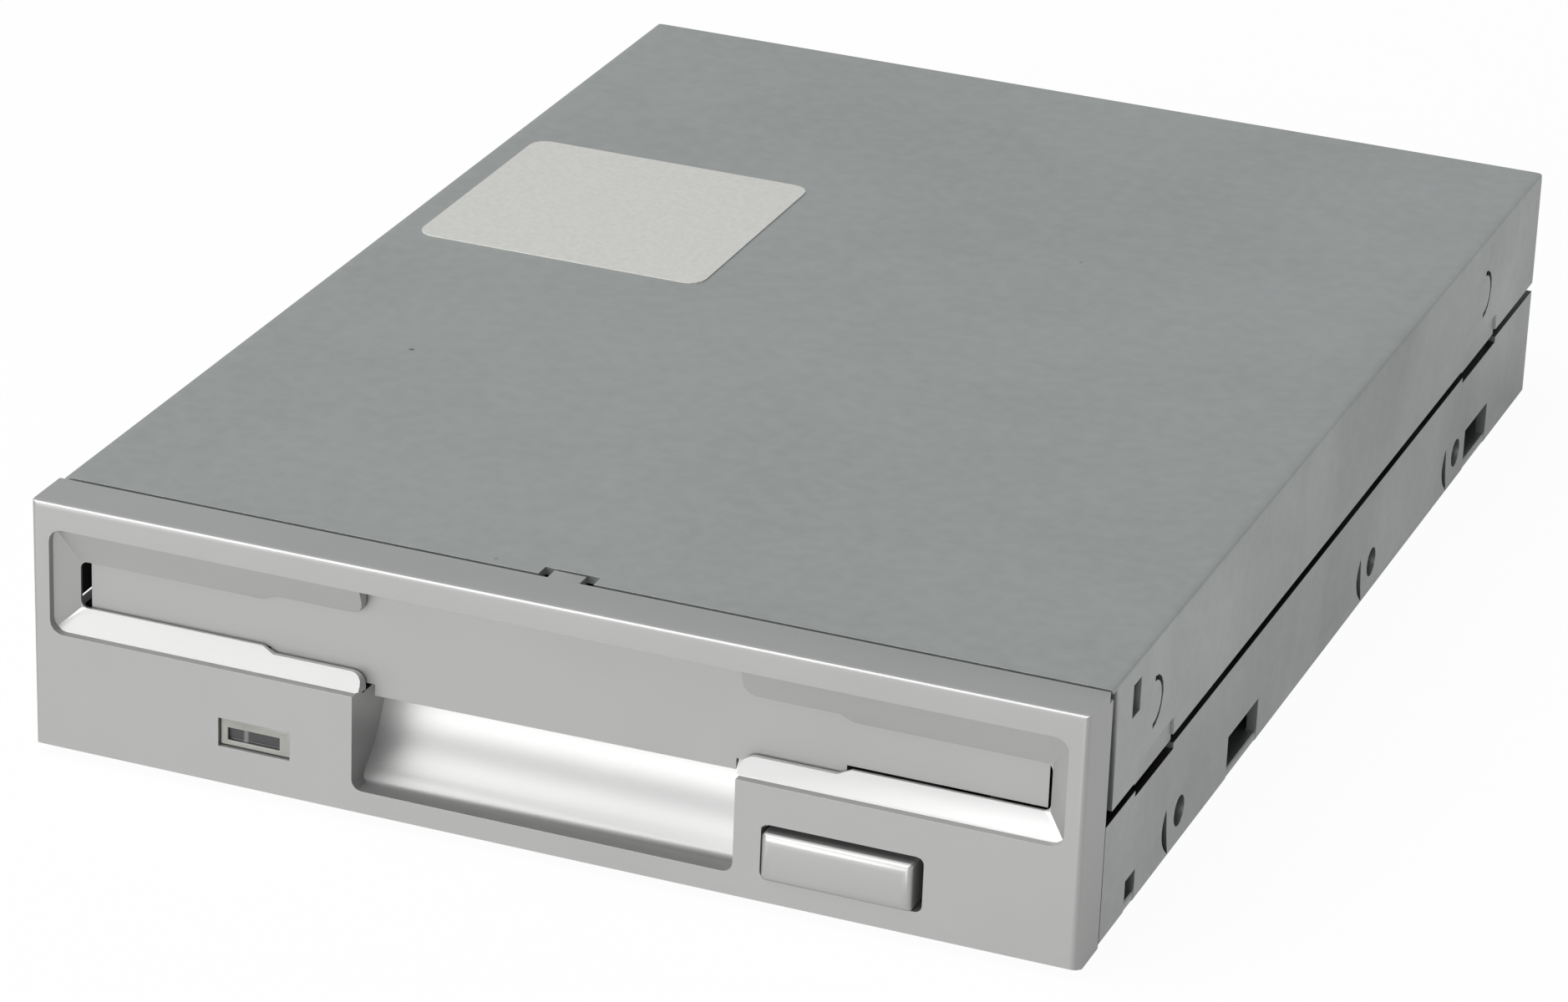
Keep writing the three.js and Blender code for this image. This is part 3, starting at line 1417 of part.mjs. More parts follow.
// The carriage runs on the guide rod with two sleeves and on the lead screw with a nut arm. It carries
// the lower head on a low tower and the upper head's arm between two ears.
function headCarriage() {
  const [front, rear] = [headDepth - carriageFront, headDepth + carriageRear];
  const sleeveLeft = rodX - rodRadius - carriageSkin;
  const sleeveRear = rear - rodRadius * 2;
  const body = join(
    block(carriageLeft, sleeveLeft, front, rear, carriageBottom, carriageTop),
    block(sleeveLeft - seatGap, carriageRight, headDepth, rear, carriageBottom, carriageTop),
  );
  const belly = block(carriageLeft + carriageSkin, sleeveLeft - carriageSkin, front - overrun,
    rear - carriageSkin, carriageBottom - overrun, carriageTop - carriageSkin);
  const sleeveGap = block(sleeveLeft + seatGap, carriageRight + overrun, headDepth + carriageSkin * 2,
    sleeveRear - carriageSkin, carriageBottom - overrun, carriageTop - carriageSkin);
  const tower = block(-towerHalf, towerHalf, headDepth - towerLength, headDepth + towerLength,
    carriageTop - seatGap, towerTop);
  const nutFrontDepth = headDepth + nutFront;
  const nut = block(nutLeft, carriageLeft + seatGap, nutFrontDepth, nutFrontDepth + nutLength, nutBottom,
    carriageTop);
  const earNear = armHalf + runningGap * 2;
  const hingeDepth = headDepth + hingeBack;
  const earHalf = hingePin + hingeEar;
  const ears = pair(earNear, earNear + hingeEar, hingeDepth - earHalf, rear, carriageTop - seatGap,
    hingeHeight + earHalf);
  const vane = block(vaneX - vaneSheet / 2, vaneX + vaneSheet / 2, rear - seatGap, rear + vaneLength,
    vaneBottom, vaneTop);
  const rodBore = bar("y", rodX, rodHeight, rodRadius + runningGap, front - overrun, rear + overrun);
  const screwBore = bar("y", screwX, screwHeight, screwRadius + runningGap, front, rear);
  const hingeBore = bar("x", hingeDepth, hingeHeight, hingePin + runningGap, -halfWidth, halfWidth);
  return cut(
    join(cut(body, belly, sleeveGap), tower, nut, ears, vane),
    rodBore,
    screwBore,
    hingeBore,
  );
}

// A head is a small pad with a slit of its own size across the track.
function headPad(bottom, top) {
  const half = headHalf;
  const slit = headGap / 2;
  const face = top > bottom ? top : bottom;
  const pad = push(
    roundedRectangle(-half, half, headDepth - half, headDepth + half, headGap * 2),
    "z", Math.min(bottom, top), Math.max(bottom, top),
  );
  const groove = block(-half - overrun, half + overrun, headDepth - slit, headDepth + slit, face - slit,
    face + overrun);
  return cut(pad, groove);
}

function lowerHead() {
  return headPad(towerTop, towerTop + headHeight);
}

// The arm and the upper head are made level, as they lie on a disk, with the hinge at zero.
function upperArm() {
  const half = armSheet / 2;
  const tip = armHalf * armTipShare;
  const shoulder = wingBack - wingLength / 2;
  const plan = outline([
    [-tip, -armFrontReach],
    [tip, -armFrontReach],
    [armHalf, -shoulder],
    [armHalf, hingePin],
    [-armHalf, hingePin],
    [-armHalf, -shoulder],
  ]);
  const wingFront = -shoulder - wingLength;
  const ribTop = half + armRib;
  const plate = push(plan, "z", -half, half);
  const ribs = pair(armHalf - armRib, armHalf, -shoulder, hingePin, half - seatGap, ribTop);
  const wings = pair(armHalf - armRib, wingReach, wingFront, wingFront + wingLength, wingRise,
    wingRise + holderSheet);
  const pinEnd = armHalf + runningGap * 2 + hingeEar;
  const pin = bar("x", 0, 0, hingePin, -pinEnd, pinEnd);
  const windowFront = -armFrontReach * armWindowShare;
  const window = block(-tip / 2, tip / 2, windowFront, -hingePin * 3, -armSheet, armSheet);
  return cut(join(plate, ribs, wings, pin), window);
}

function upperHead() {
  const top = -armSheet / 2;
  const bottom = towerTop + headHeight + headGap - hingeHeight;
  const pad = push(
    roundedRectangle(-headHalf, headHalf, -hingeBack - headHalf, -hingeBack + headHalf, headGap * 2),
    "z", bottom, top,
  );
  const groove = block(-headHalf - overrun, headHalf + overrun, -hingeBack - headGap / 2,
    -hingeBack + headGap / 2, bottom - overrun, bottom + headGap / 2);
  return cut(pad, groove);
}

// A leaf spring stands on the carriage's back and presses on the arm.
function armSpring() {
  const rear = headDepth + carriageRear;
  const tip = headDepth + hingeBack - hingePin * 7;
  const tipHeight = hingeHeight + armSheet / 2 + hingePin * armSpringRiseShare;
  const knee = tipHeight + armSpringSheet * armSpringKneeShare;
  const shape = outline([
    [rear, carriageTop],
    [rear, knee],
    [rear - armSpringSheet, knee + armSpringSheet],
    [tip, tipHeight + armSpringSheet],
    [tip, tipHeight],
    [rear - armSpringSheet * 2, knee],
    [rear - armSpringSheet, knee - armSpringSheet],
    [rear - armSpringSheet, carriageTop],
  ]);
  return push(shape, "x", -armSpringWidth / 2, armSpringWidth / 2);
}

function guideRod() {
  return bar("y", rodX, rodHeight, rodRadius, rodFront, rodBack);
}

// A clamp holds an end of the rod on the chassis floor.
function rodClamp(front) {
  const half = rodClampHalf;
  const top = rodHeight + rodRadius + chassisSheet;
  const body = push(roundedRectangle(rodX - half, rodX + half, floorTop, top, rodRadius / 2), "y", front,
    front + rodClampLength);
  return cut(body, bar("y", rodX, rodHeight, rodRadius + seatGap, front - overrun,
    front + rodClampLength + overrun));
}

// The lead screw is the stepper motor's own shaft. Its thread is left to the finish.
function leadScrew() {
  const end = screwRadius / 2;
  const tip = screwFront - bushLength / 2;
  const points = [
    [0, tip],
    [end, tip],
    [end, screwFront + bracketSheet + seatGap],
    [screwRadius, screwFront + bracketSheet + screwRadius],
    [screwRadius, bracketRear - seatGap],
    [0, bracketRear - seatGap],
  ].map(([radius, depth]) => new THREE.Vector2(radius, depth));
  const geometry = new THREE.LatheGeometry(points, smallSides);
  geometry.translate(screwX, 0, screwHeight);
  return solid(geometry);
}

// The bracket is one bent strip: a plate for the motor, a floor strip and a front tab with the bush.
function stepperBracket() {
  const [left, right] = [screwX - bracketHalf, screwX + bracketHalf];
  const tabHalf = bushRadius + bracketSheet;
  const front = screwFront;
  const bore = bar("y", screwX, screwHeight, bushRadius + seatGap, front - overrun,
    front + bracketSheet + overrun);
  return cut(
    join(
      block(left, right, bracketRear, bracketRear + bracketSheet, floorTop, bracketTop),
      block(left, left + tabHalf, front, bracketRear + seatGap, floorTop, floorTop + bracketSheet),
      block(left, right, front, front + bracketSheet * 3, floorTop, floorTop + bracketSheet),
      block(screwX - tabHalf, screwX + tabHalf, front, front + bracketSheet, floorTop,
        bracketTabTop + bushRadius / 2),
    ),
    bore,
  );
}

function screwBush() {
  const front = screwFront - bushLength / 2;
  const points = [
    [screwRadius / 2 + seatGap * 2, front],
    [bushRadius, front],
    [bushRadius, screwFront + bracketSheet],
    [screwRadius / 2 + seatGap * 2, screwFront + bracketSheet],
    [screwRadius / 2 + seatGap * 2, front],
  ].map(([radius, depth]) => new THREE.Vector2(radius, depth));
  const geometry = new THREE.LatheGeometry(points, smallSides);
  geometry.translate(screwX, 0, screwHeight);
  return solid(geometry);
}

function stepperCase() {
  const front = bracketRear + bracketSheet;
  const rim = bracketSheet / 2;
  const points = [
    [0, front],
    [stepperRadius - rim, front],
    [stepperRadius, front + rim],
    [stepperRadius, front + stepperLength - rim],
    [stepperRadius - rim, front + stepperLength],
    [0, front + stepperLength],
  ].map(([radius, depth]) => new THREE.Vector2(radius, depth));
  const geometry = new THREE.LatheGeometry(points, roundSides);
  geometry.translate(screwX, 0, screwHeight);
  return solid(geometry);
}

// The main board is cut out round the head drive.
function mainBoard() {
  const shape = outline([
    [-mainBoardHalf, mainBoardFront],
    [boardLeftWing, mainBoardFront],
    [boardLeftWing, mainBoardStrip],
    [boardRightWing, mainBoardStrip],
    [boardRightWing, mainBoardFront],
    [mainBoardHalf, mainBoardFront],
    [mainBoardHalf, mainBoardRear],
    [-mainBoardHalf, mainBoardRear],
  ]);
  return push(shape, "z", mainBoardBottom, mainBoardTop);
}

function standoffs() {
  return standoffPlaces.map(([x, y]) => bar("z", x, y, standoffRadius, floorTop - seatGap, mainBoardBottom));
}

// A shrouded plug with rows of square pins, open at the back.
function shroudedPlug(left, right, front, height, pitch, count, rows) {
  const rear = overallDepth;
  const [bottom, top] = [mainBoardTop, mainBoardTop + height];
  const back = front + dataWall * 2;
  const shroud = cut(
    block(left, right, front, rear, bottom, top),
    block(left + dataWall, right - dataWall, back, rear + overrun, bottom + dataWall, top - dataWall),
  );
  const middle = (left + right) / 2;
  const pins = [];
  for (let row = 0; row < rows; row += 1) {
    const z = (bottom + top) / 2 + (row - (rows - 1) / 2) * pitch;
    for (let i = 0; i < count; i += 1) {
      const x = middle + (i - (count - 1) / 2) * pitch;
      pins.push(block(x - dataPinHalf, x + dataPinHalf, back - seatGap, rear - dataWall * pinSinkShare,
        z - dataPinHalf, z + dataPinHalf));
    }
  }
  return join(shroud, pins);
}

function dataConnector() {
  const middle = (dataLeft + dataRight) / 2;
  const key = block(middle - dataKey / 2, middle + dataKey / 2, dataFront + dataWall * 3,
    overallDepth + overrun, mainBoardTop + dataHeight - dataWall - seatGap, bodyHeight);
  return cut(shroudedPlug(dataLeft, dataRight, dataFront, dataHeight, dataPinPitch, dataPins, 2), key);
}

function powerConnector() {
  return shroudedPlug(powerLeft, powerRight, powerFront, powerHeight, powerPinPitch, powerPins, 1);
}

function controlChip() {
  const half = chipSide / 2;
  return push(roundedRectangle(chipX - half, chipX + half, chipDepth - half, chipDepth + half,
    chipHeight / 4), "z", mainBoardTop, mainBoardTop + chipHeight);
}

function driverChip() {
  return block(driverX - driverLength / 2, driverX + driverLength / 2, driverDepth - driverWidth / 2,
    driverDepth + driverWidth / 2, mainBoardTop, mainBoardTop + chipHeight);
}

// The track zero sensor is a fork that the carriage's vane enters.
function trackZeroSensor() {
  const front = mainBoardStrip + seatGap * 2;
  const body = block(vaneX - sensorHalf, vaneX + sensorHalf, front, front + sensorLength, mainBoardTop,
    sensorTop);
  const slot = block(vaneX - sensorSlot / 2, vaneX + sensorSlot / 2, front - overrun,
    front + sensorLength - dataWall, vaneBottom - runningGap * 2, sensorTop + overrun);
  return cut(body, slot);
}

// A flat flexible cable runs in a loop from the carriage to the main board.
function headCable() {
  const start = headDepth + carriageRear + seatGap;
  const end = dataFront - cableWidth / 2;
  const height = (carriageBottom + carriageTop) / 2 + cableSheet;
  const curve = new THREE.CatmullRomCurve3([
    new THREE.Vector3(start, height, 0),
    new THREE.Vector3(start + cableWidth / 4, height + cableSheet, 0),
    new THREE.Vector3((start + end) / 2, height + cableBulge / 2, 0),
    new THREE.Vector3(end, height, 0),
    new THREE.Vector3(end, mainBoardTop + seatGap, 0),
  ]);
  const points = curve.getPoints(smallSides);
  const offset = (sign) =>
    points.map((point, i) => {
      const ahead = points[Math.min(i + 1, points.length - 1)];
      const before = points[Math.max(i - 1, 0)];
      const along = ahead.clone().sub(before).normalize();
      return [point.x - (sign * along.y * cableSheet) / 2, point.y + (sign * along.x * cableSheet) / 2];
    });
  const shape = outline([...offset(-1), ...offset(1).reverse()]);
  return push(shape, "x", cableLeft, cableLeft + cableWidth);
}

const drive = new THREE.Group();
drive.position.y = -(overallDepth - buttonProud) / 2;

function place(name, made, { colour, roughness, metalness }, parent = drive) {
  const material = new THREE.MeshStandardMaterial({ color: colour, roughness, metalness });
  const mesh = new THREE.Mesh(geometryOf(made), material);
  mesh.name = name;
  parent.add(mesh);
}

place("front_bezel", frontBezel(), bezelGrey);
place("door_flap", doorFlap(), bezelGrey);
place("door_spring", doorSpring(), brightSteel);
place("light_guide", lightGuide(), clearPlastic);
place("lamp", lamp(), palePlastic);
place("eject_button", ejectButton(), bezelGrey);
place("top_cover", topCover(), sheetGrey);
place("cover_label", coverLabel(), paper);
place("chassis", join(chassisTray(), standoffs()), steelGrey);

place("disk_holder", diskHolder(), brightSteel);
for (const [sideName, side] of [["left", -1], ["right", 1]]) {
  pinPlaces.forEach((depth, i) => {
    place(`holder_pin_${sideName}_${["front", "rear"][i]}`, holderPin(side, depth), brightSteel);
  });
  postPlaces.forEach((depth, i) => {
    place(`slide_post_${sideName}_${["front", "rear"][i]}`, slidePost(side * postX, depth), brass);
  });
  const springName = `slide_spring_${sideName}`;
  place(springName, slideSpring(springName, side * hookX), brightSteel);
}
place("shutter_lever", shutterLever(), steelGrey);
place("lever_peg", leverPeg(), brass);
place("lever_pivot", leverPivot(), brass);
place("lever_spring", leverSpring(), brightSteel);
place("slide_plate", slidePlate(), brightSteel);

place("motor_board", motorBoard(), boardGreen);
place("spindle_bearing", spindleBearing(), brass);
place("stator", stator(), copper);
place("rotor_yoke", rotorYoke(), steelGrey);
place("ring_magnet", ringMagnet(), magnetBlack);
place("spindle_hub", spindleHub(), brightSteel);
place("hub_magnet", hubMagnet(), magnetBlack);
place("drive_pin", drivePin(), brightSteel);
for (const [kind, side, depth] of switchPlaces) {
  place(`${kind}_switch`, switchBody(side, depth), darkPlastic);
  place(`${kind}_plunger`, switchPlunger(side, depth), palePlastic);
}

place("head_carriage", headCarriage(), darkPlastic);
place("lower_head", lowerHead(), brightSteel);
place("arm_spring", armSpring(), brightSteel);
const arm = new THREE.Group();
arm.position.set(0, headDepth + hingeBack, hingeHeight);
arm.rotation.x = -THREE.MathUtils.degToRad(liftAngle);
drive.add(arm);
place("upper_arm", upperArm(), darkPlastic, arm);
place("upper_head", upperHead(), brightSteel, arm);
place("guide_rod", guideRod(), brightSteel);
place("rod_clamp_front", rodClamp(rodFront), darkPlastic);
place("rod_clamp_rear", rodClamp(rodBack - rodClampLength), darkPlastic);
place("lead_screw", leadScrew(), brightSteel);
place("screw_bush", screwBush(), brass);
place("stepper_bracket", stepperBracket(), brightSteel);
place("stepper_case", stepperCase(), steelGrey);
place("main_board", mainBoard(), boardGreen);
place("data_connector", dataConnector(), darkPlastic);
place("power_connector", powerConnector(), palePlastic);
place("control_chip", controlChip(), darkPlastic);
place("driver_chip", driverChip(), darkPlastic);
place("track_zero_sensor", trackZeroSensor(), darkPlastic);
place("head_cable", headCable(), cableAmber);

export default drive;
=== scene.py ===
# %% [markdown]
# # A slim 3.5 inch floppy disk drive
#
# The drive comes in as a finished mechanical model: every piece has its true size and its true
# place. What it lacks is the look of the real thing. A bezel has soft moulded edges and a silver
# sheen, a cover is dull plated steel with clouds in its zinc, and a board carries small parts.
# This lesson adds those, one piece at a time, and never changes where a piece is.

# %% Load the mechanical model
import json
import math

import bmesh
import bpy
from mathutils import Matrix, Vector


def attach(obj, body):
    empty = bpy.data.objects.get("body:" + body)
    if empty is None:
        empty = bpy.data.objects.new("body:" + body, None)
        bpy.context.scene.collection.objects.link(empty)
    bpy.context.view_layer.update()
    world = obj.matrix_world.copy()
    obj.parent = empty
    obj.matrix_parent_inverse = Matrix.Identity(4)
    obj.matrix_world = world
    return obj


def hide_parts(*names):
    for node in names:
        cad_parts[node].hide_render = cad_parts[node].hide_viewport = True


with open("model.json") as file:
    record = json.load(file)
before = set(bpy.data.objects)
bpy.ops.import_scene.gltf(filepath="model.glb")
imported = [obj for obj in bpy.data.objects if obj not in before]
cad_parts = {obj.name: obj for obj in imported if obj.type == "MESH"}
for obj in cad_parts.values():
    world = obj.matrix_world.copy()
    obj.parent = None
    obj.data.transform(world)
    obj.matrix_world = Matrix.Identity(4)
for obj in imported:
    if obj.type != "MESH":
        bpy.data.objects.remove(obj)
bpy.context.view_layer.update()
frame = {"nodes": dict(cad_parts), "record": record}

MM = 0.001

# %% [markdown]
# ## The camera
#
# The camera comes first, because everything is judged through it. Its place and its lens were
# worked out from the drive's known width, height and hole spacing. It stands 0.6 m away, to the
# right and above, and it is rolled by about two degrees, as a hand-held camera often is. A long
# lens keeps the far end of the drive nearly as wide as the near end.

# %% Set the camera
CAMERA_ANGLES = (21.015, 24.091, 2.227)
CAMERA_PLACE = Vector((190.08, -509.70, 249.20)) * MM
SENSOR, LENS = 36, 137.58

azimuth, elevation, roll = (math.radians(angle) for angle in CAMERA_ANGLES)
forward = Vector((-math.sin(azimuth) * math.cos(elevation),
                  math.cos(azimuth) * math.cos(elevation), -math.sin(elevation)))
sideways = Vector((math.cos(azimuth), math.sin(azimuth), 0))
upright = sideways.cross(forward)
right = sideways * math.cos(roll) + upright * math.sin(roll)
up = right.cross(forward)

camera_data = bpy.data.cameras.new("camera")
camera_data.sensor_width = SENSOR
camera_data.lens = LENS
camera = bpy.data.objects.new("camera", camera_data)
bpy.context.scene.collection.objects.link(camera)
camera.matrix_world = Matrix.Translation(CAMERA_PLACE) @ Matrix(
    (right, up, -forward)).transposed().to_4x4()
bpy.context.scene.camera = camera
print("the camera looks along", [round(value, 3) for value in forward])

# %% [markdown]
# ## Small helpers for node trees
#
# All finishes and trees below are made with these few functions. Wherever one node feeds
# another, the source is written as a pair: the node, and the name or number of its output. A
# mix node keeps sockets for several kinds of value, so the ones in use have names here.

# %% Node helpers
FACTOR, NUMBER_A, NUMBER_B, COLOUR_A, COLOUR_B = 0, 2, 3, 6, 7
MIXED_COLOUR = 2


def feed(tree, source, node, socket):
    """Links a (node, output) pair to a socket of a node."""
    tree.links.new(source[0].outputs[source[1]], node.inputs[socket])


def add(tree, kind, settings=None, links=None):
    """A new node. Settings go to its properties or sockets, links are (node, output) pairs."""
    node = tree.nodes.new(kind)
    for name, value in (settings or {}).items():
        if isinstance(name, str) and hasattr(node, name):
            setattr(node, name, value)
        else:
            node.inputs[name].default_value = value
    for name, source in (links or {}).items():
        feed(tree, source, node, name)
    return node


def calculate(tree, operation, one, two=0):
    """The result of a sum with two values, each a (node, output) pair or a number."""
    node = add(tree, "ShaderNodeMath", {"operation": operation})
    for socket, value in enumerate((one, two)):
        if isinstance(value, tuple):
            feed(tree, value, node, socket)
        else:
            node.inputs[socket].default_value = value
    return node, 0


def remap(tree, value, old, new=(0.0, 1.0)):
    """Turns one range of values into another; what lies outside stops at its ends."""
    return add(tree, "ShaderNodeMapRange",
               {"From Min": old[0], "From Max": old[1], "To Min": new[0], "To Max": new[1]},
               {"Value": value}), 0


print("a mix node takes its two colours on sockets", COLOUR_A, "and", COLOUR_B)

# %% [markdown]
# ## Small helpers for finishes
#
# Colours are written as the hex values that a paint program shows, and a shader wants linear
# light, so one function turns one into the other. The rest make what every finish here needs: a
# main shader, a noise of a known size, a blend of two colours and a pattern that is pressed in.

# %% Colour and pattern helpers
def linear(code):
    """The linear colour, with alpha, of an sRGB hex value such as #929693."""
    shares = [int(code[i:i + 2], 16) / 255 for i in (1, 3, 5)]
    return [s / 12.92 if s <= 0.04045 else ((s + 0.055) / 1.055) ** 2.4 for s in shares] + [1]


def blend(tree, factor, one, two):
    """The mix of two colours, each a hex value or a (node, output) pair."""
    node = add(tree, "ShaderNodeMix", {"data_type": "RGBA"}, {FACTOR: factor})
    for socket, colour in ((COLOUR_A, one), (COLOUR_B, two)):
        if isinstance(colour, str):
            node.inputs[socket].default_value = linear(colour)
        else:
            feed(tree, colour, node, socket)
    return node, MIXED_COLOUR


def start_finish(name, settings):
    """An empty material with its main shader; gives the material, its tree, shader and place."""
    material = bpy.data.materials.new(name)
    material.use_nodes = True
    tree = material.node_tree
    tree.nodes.clear()
    shader = add(tree, "ShaderNodeBsdfPrincipled", settings)
    add(tree, "ShaderNodeOutputMaterial", links={"Surface": (shader, "BSDF")})
    return material, tree, shader, add(tree, "ShaderNodeTexCoord")


def per_mm(size):
    """The scale of a pattern whose blotches are about this many millimetres wide."""
    return 1 / (size * MM)


def noise(tree, place, size, settings):
    """A noise with blotches of this size in millimetres, fixed to the piece."""
    return add(tree, "ShaderNodeTexNoise", {"Scale": per_mm(size), **settings},
               {"Vector": (place, "Object")}), "Fac"


def roughen(tree, shader, height, strength, depth):
    """Presses a pattern into the surface, with a depth in millimetres."""
    bump = add(tree, "ShaderNodeBump", {"Strength": strength, "Distance": depth * MM},
               {"Height": height})
    feed(tree, (bump, 0), shader, "Normal")


print("mid grey becomes", [round(value, 3) for value in linear("#808080")])

# %% [markdown]
# ## The paper
#
# The drive stands on paper that the camera sees as nearly plain white. The plated side of the
# drive mirrors it too, and there the paper glows less: to the right of the drive it fades
# towards the rear, as the lit part of a table ends somewhere. A small share of what the camera
# sees is light that falls on matt white paper, which keeps a faint soft shadow.

# %% Lay the paper
FLOOR_HALF, FLOOR_DROP = 3, 0.2
PAPER_SEEN, PAPER_MIRRORED, PAPER_BESIDE = 0.96, 0.7, 0.42
REAR_FADE = (10 * MM, 80 * MM)
SIDE_FADE = (30 * MM, 80 * MM)

bpy.context.scene.view_settings.view_transform = "Standard"
floor_mesh = bpy.data.meshes.new("floor")
floor_mesh.from_pydata([(x * FLOOR_HALF, y * FLOOR_HALF, 0) for x, y in (
    (-1, -1), (1, -1), (1, 1), (-1, 1))], [], [(0, 1, 2, 3)])
floor = bpy.data.objects.new("floor", floor_mesh)
bpy.context.scene.collection.objects.link(floor)
floor.location.z = -FLOOR_DROP * MM

paper_white = bpy.data.materials.new("white_paper_sweep")
paper_white.use_nodes = True
tree = paper_white.node_tree
tree.nodes.clear()
ray = add(tree, "ShaderNodeLightPath")
seen = calculate(tree, "MAXIMUM", (ray, "Is Camera Ray"), (ray, "Is Glossy Ray"))
seen = calculate(tree, "MAXIMUM", seen, (ray, "Is Transmission Ray"))
lit = add(tree, "ShaderNodeBsdfDiffuse", {"Color": linear("#e6e6e6")})
glow = add(tree, "ShaderNodeEmission", {"Color": linear("#ffffff"), "Strength": 1.0})
place = add(tree, "ShaderNodeTexCoord")
across = add(tree, "ShaderNodeSeparateXYZ", links={0: (place, "Object")})
behind = remap(tree, (across, "Y"), REAR_FADE, (PAPER_BESIDE, 0.0))
beside = remap(tree, (across, "X"), SIDE_FADE)
mirrored = add(tree, "ShaderNodeMix", {"data_type": "FLOAT", NUMBER_A: PAPER_MIRRORED},
               {FACTOR: beside, NUMBER_B: behind})
glow_share = add(tree, "ShaderNodeMix", {"data_type": "FLOAT", NUMBER_B: PAPER_SEEN},
                 {FACTOR: (ray, "Is Camera Ray"), NUMBER_A: (mirrored, 0)})
share = calculate(tree, "MULTIPLY", seen, (glow_share, 0))
both = add(tree, "ShaderNodeMixShader", links={FACTOR: share, 1: (lit, 0), 2: (glow, 0)})
add(tree, "ShaderNodeOutputMaterial", links={"Surface": (both, 0)})
floor_mesh.materials.append(paper_white)
print("the paper is", 2 * FLOOR_HALF, "m wide")

# %% [markdown]
# ## The room and the lamps
#
# The room is plain white for the camera, brighter in reflections than as soft light, and dim
# enough for the lamps to model the shape. A large soft box above and to the left puts the sheen
# on every slope that faces up, and a second one, low and in front, fills the face of the bezel.

# %% World and lamps
ROOM_LIGHT = (0.2, 0.68)

world = bpy.data.worlds.new("studio")
bpy.context.scene.world = world
world.use_nodes = True
tree = world.node_tree
tree.nodes.clear()
ray = add(tree, "ShaderNodeLightPath")
seen = calculate(tree, "MAXIMUM", (ray, "Is Camera Ray"), (ray, "Is Transmission Ray"))
strength = remap(tree, (ray, "Is Glossy Ray"), (0.0, 1.0), ROOM_LIGHT)
dim = add(tree, "ShaderNodeBackground", {"Color": linear("#f4f6f8")}, {"Strength": strength})
bright = add(tree, "ShaderNodeBackground", {"Color": linear("#ffffff"), "Strength": 1.0})
both = add(tree, "ShaderNodeMixShader", links={FACTOR: seen, 1: (dim, 0), 2: (bright, 0)})
add(tree, "ShaderNodeOutputWorld", links={"Surface": (both, 0)})


def soft_box(name, direction, distance, width, height, power):
    """An area lamp that looks at the middle of the drive from a direction, sizes in metres."""
    data = bpy.data.lights.new(name, "AREA")
    data.shape = "RECTANGLE"
    data.size, data.size_y, data.energy = width, height, power
    lamp = bpy.data.objects.new(name, data)
    bpy.context.scene.collection.objects.link(lamp)
    towards = Vector(direction).normalized()
    lamp.matrix_world = Matrix.Translation(towards * distance) @ towards.to_track_quat(
        "Z", "Y").to_matrix().to_4x4()


soft_box("upper_box", direction=(-0.33, -0.27, 0.9), distance=1.2, width=0.9, height=1.15,
         power=12.8)
soft_box("front_box", direction=(-0.25, -0.925, 0.245), distance=1.5, width=1.8, height=0.75,
         power=19.3)
print("the lamps are", [light.name for light in bpy.data.lights])

# %% [markdown]
# ## Silver-grey ABS
#
# The bezel, the door and the button are moulded in ABS with a fine metallic pigment, the finish
# that office machines had after plain beige. It gives a soft broad shine, so slopes that face
# the upper lamp go nearly white. The mould was spark eroded, which leaves a grain of about a
# third of a millimetre, and years of use leave faint clouds. A noise makes each of them.

# %% Silver-grey moulded ABS
def moulded_abs(name, colour, clouds):
    """A moulding with metallic pigment, faint clouds and the grain of its mould."""
    material, tree, shader, place = start_finish(
        name, {"Metallic": 0.7, "IOR": 1.53, "Roughness": 0.40})
    cloud = noise(tree, place, 18, {"Detail": 3.0})
    soften = remap(tree, cloud, (0.35, 0.75), (0.0, 0.35))
    feed(tree, blend(tree, soften, colour, clouds), shader, "Base Color")
    grain = noise(tree, place, 0.35, {"Detail": 2.0})
    roughen(tree, shader, grain, strength=0.12, depth=0.02)
    return material


bezel_abs = moulded_abs("silver_grey_moulded_abs", "#a7a7a6", "#9c9c9b")
print("made", bezel_abs.name)

# %% [markdown]
# ## Zinc-plated sheet
#
# The cover and the chassis are pressed from plated steel. Zinc dulls to a greenish grey, and it
# does so unevenly: soft clouds a few centimetres wide, a finer mottle and a few dark specks. The
# clouds change the roughness too, as the grease of fingers does. A metal shader with those
# patterns gives that, where a single grey would look like paint.

# %% Plated steel sheet
def plated_sheet(name, colour, clouds, specks, roughness, metallic):
    """Plated steel with wide clouds, a fine mottle and dark specks."""
    material, tree, shader, place = start_finish(name, {"Metallic": metallic})
    wide = noise(tree, place, 30, {"Detail": 4.0, "Roughness": 0.55, "Distortion": 0.6})
    tint = blend(tree, remap(tree, wide, (0.38, 0.68)), colour, clouds)
    fine = noise(tree, place, 1.6, {"Detail": 3.0})
    mottle = remap(tree, fine, (0.3, 0.7), (0.96, 1.04))
    shade = add(tree, "ShaderNodeVectorMath", {"operation": "SCALE"}, {0: tint, "Scale": mottle})
    spots = add(tree, "ShaderNodeTexVoronoi", {"Scale": per_mm(14), "Randomness": 1.0},
                {"Vector": (place, "Object")})
    speck = remap(tree, (spots, "Distance"), (0.018, 0.03), (1.0, 0.0))
    feed(tree, blend(tree, speck, (shade, 0), specks), shader, "Base Color")
    smudge = remap(tree, wide, (0.3, 0.7), (roughness - 0.05, roughness + 0.07))
    feed(tree, smudge, shader, "Roughness")
    roughen(tree, shader, fine, strength=0.08, depth=0.03)
    return material


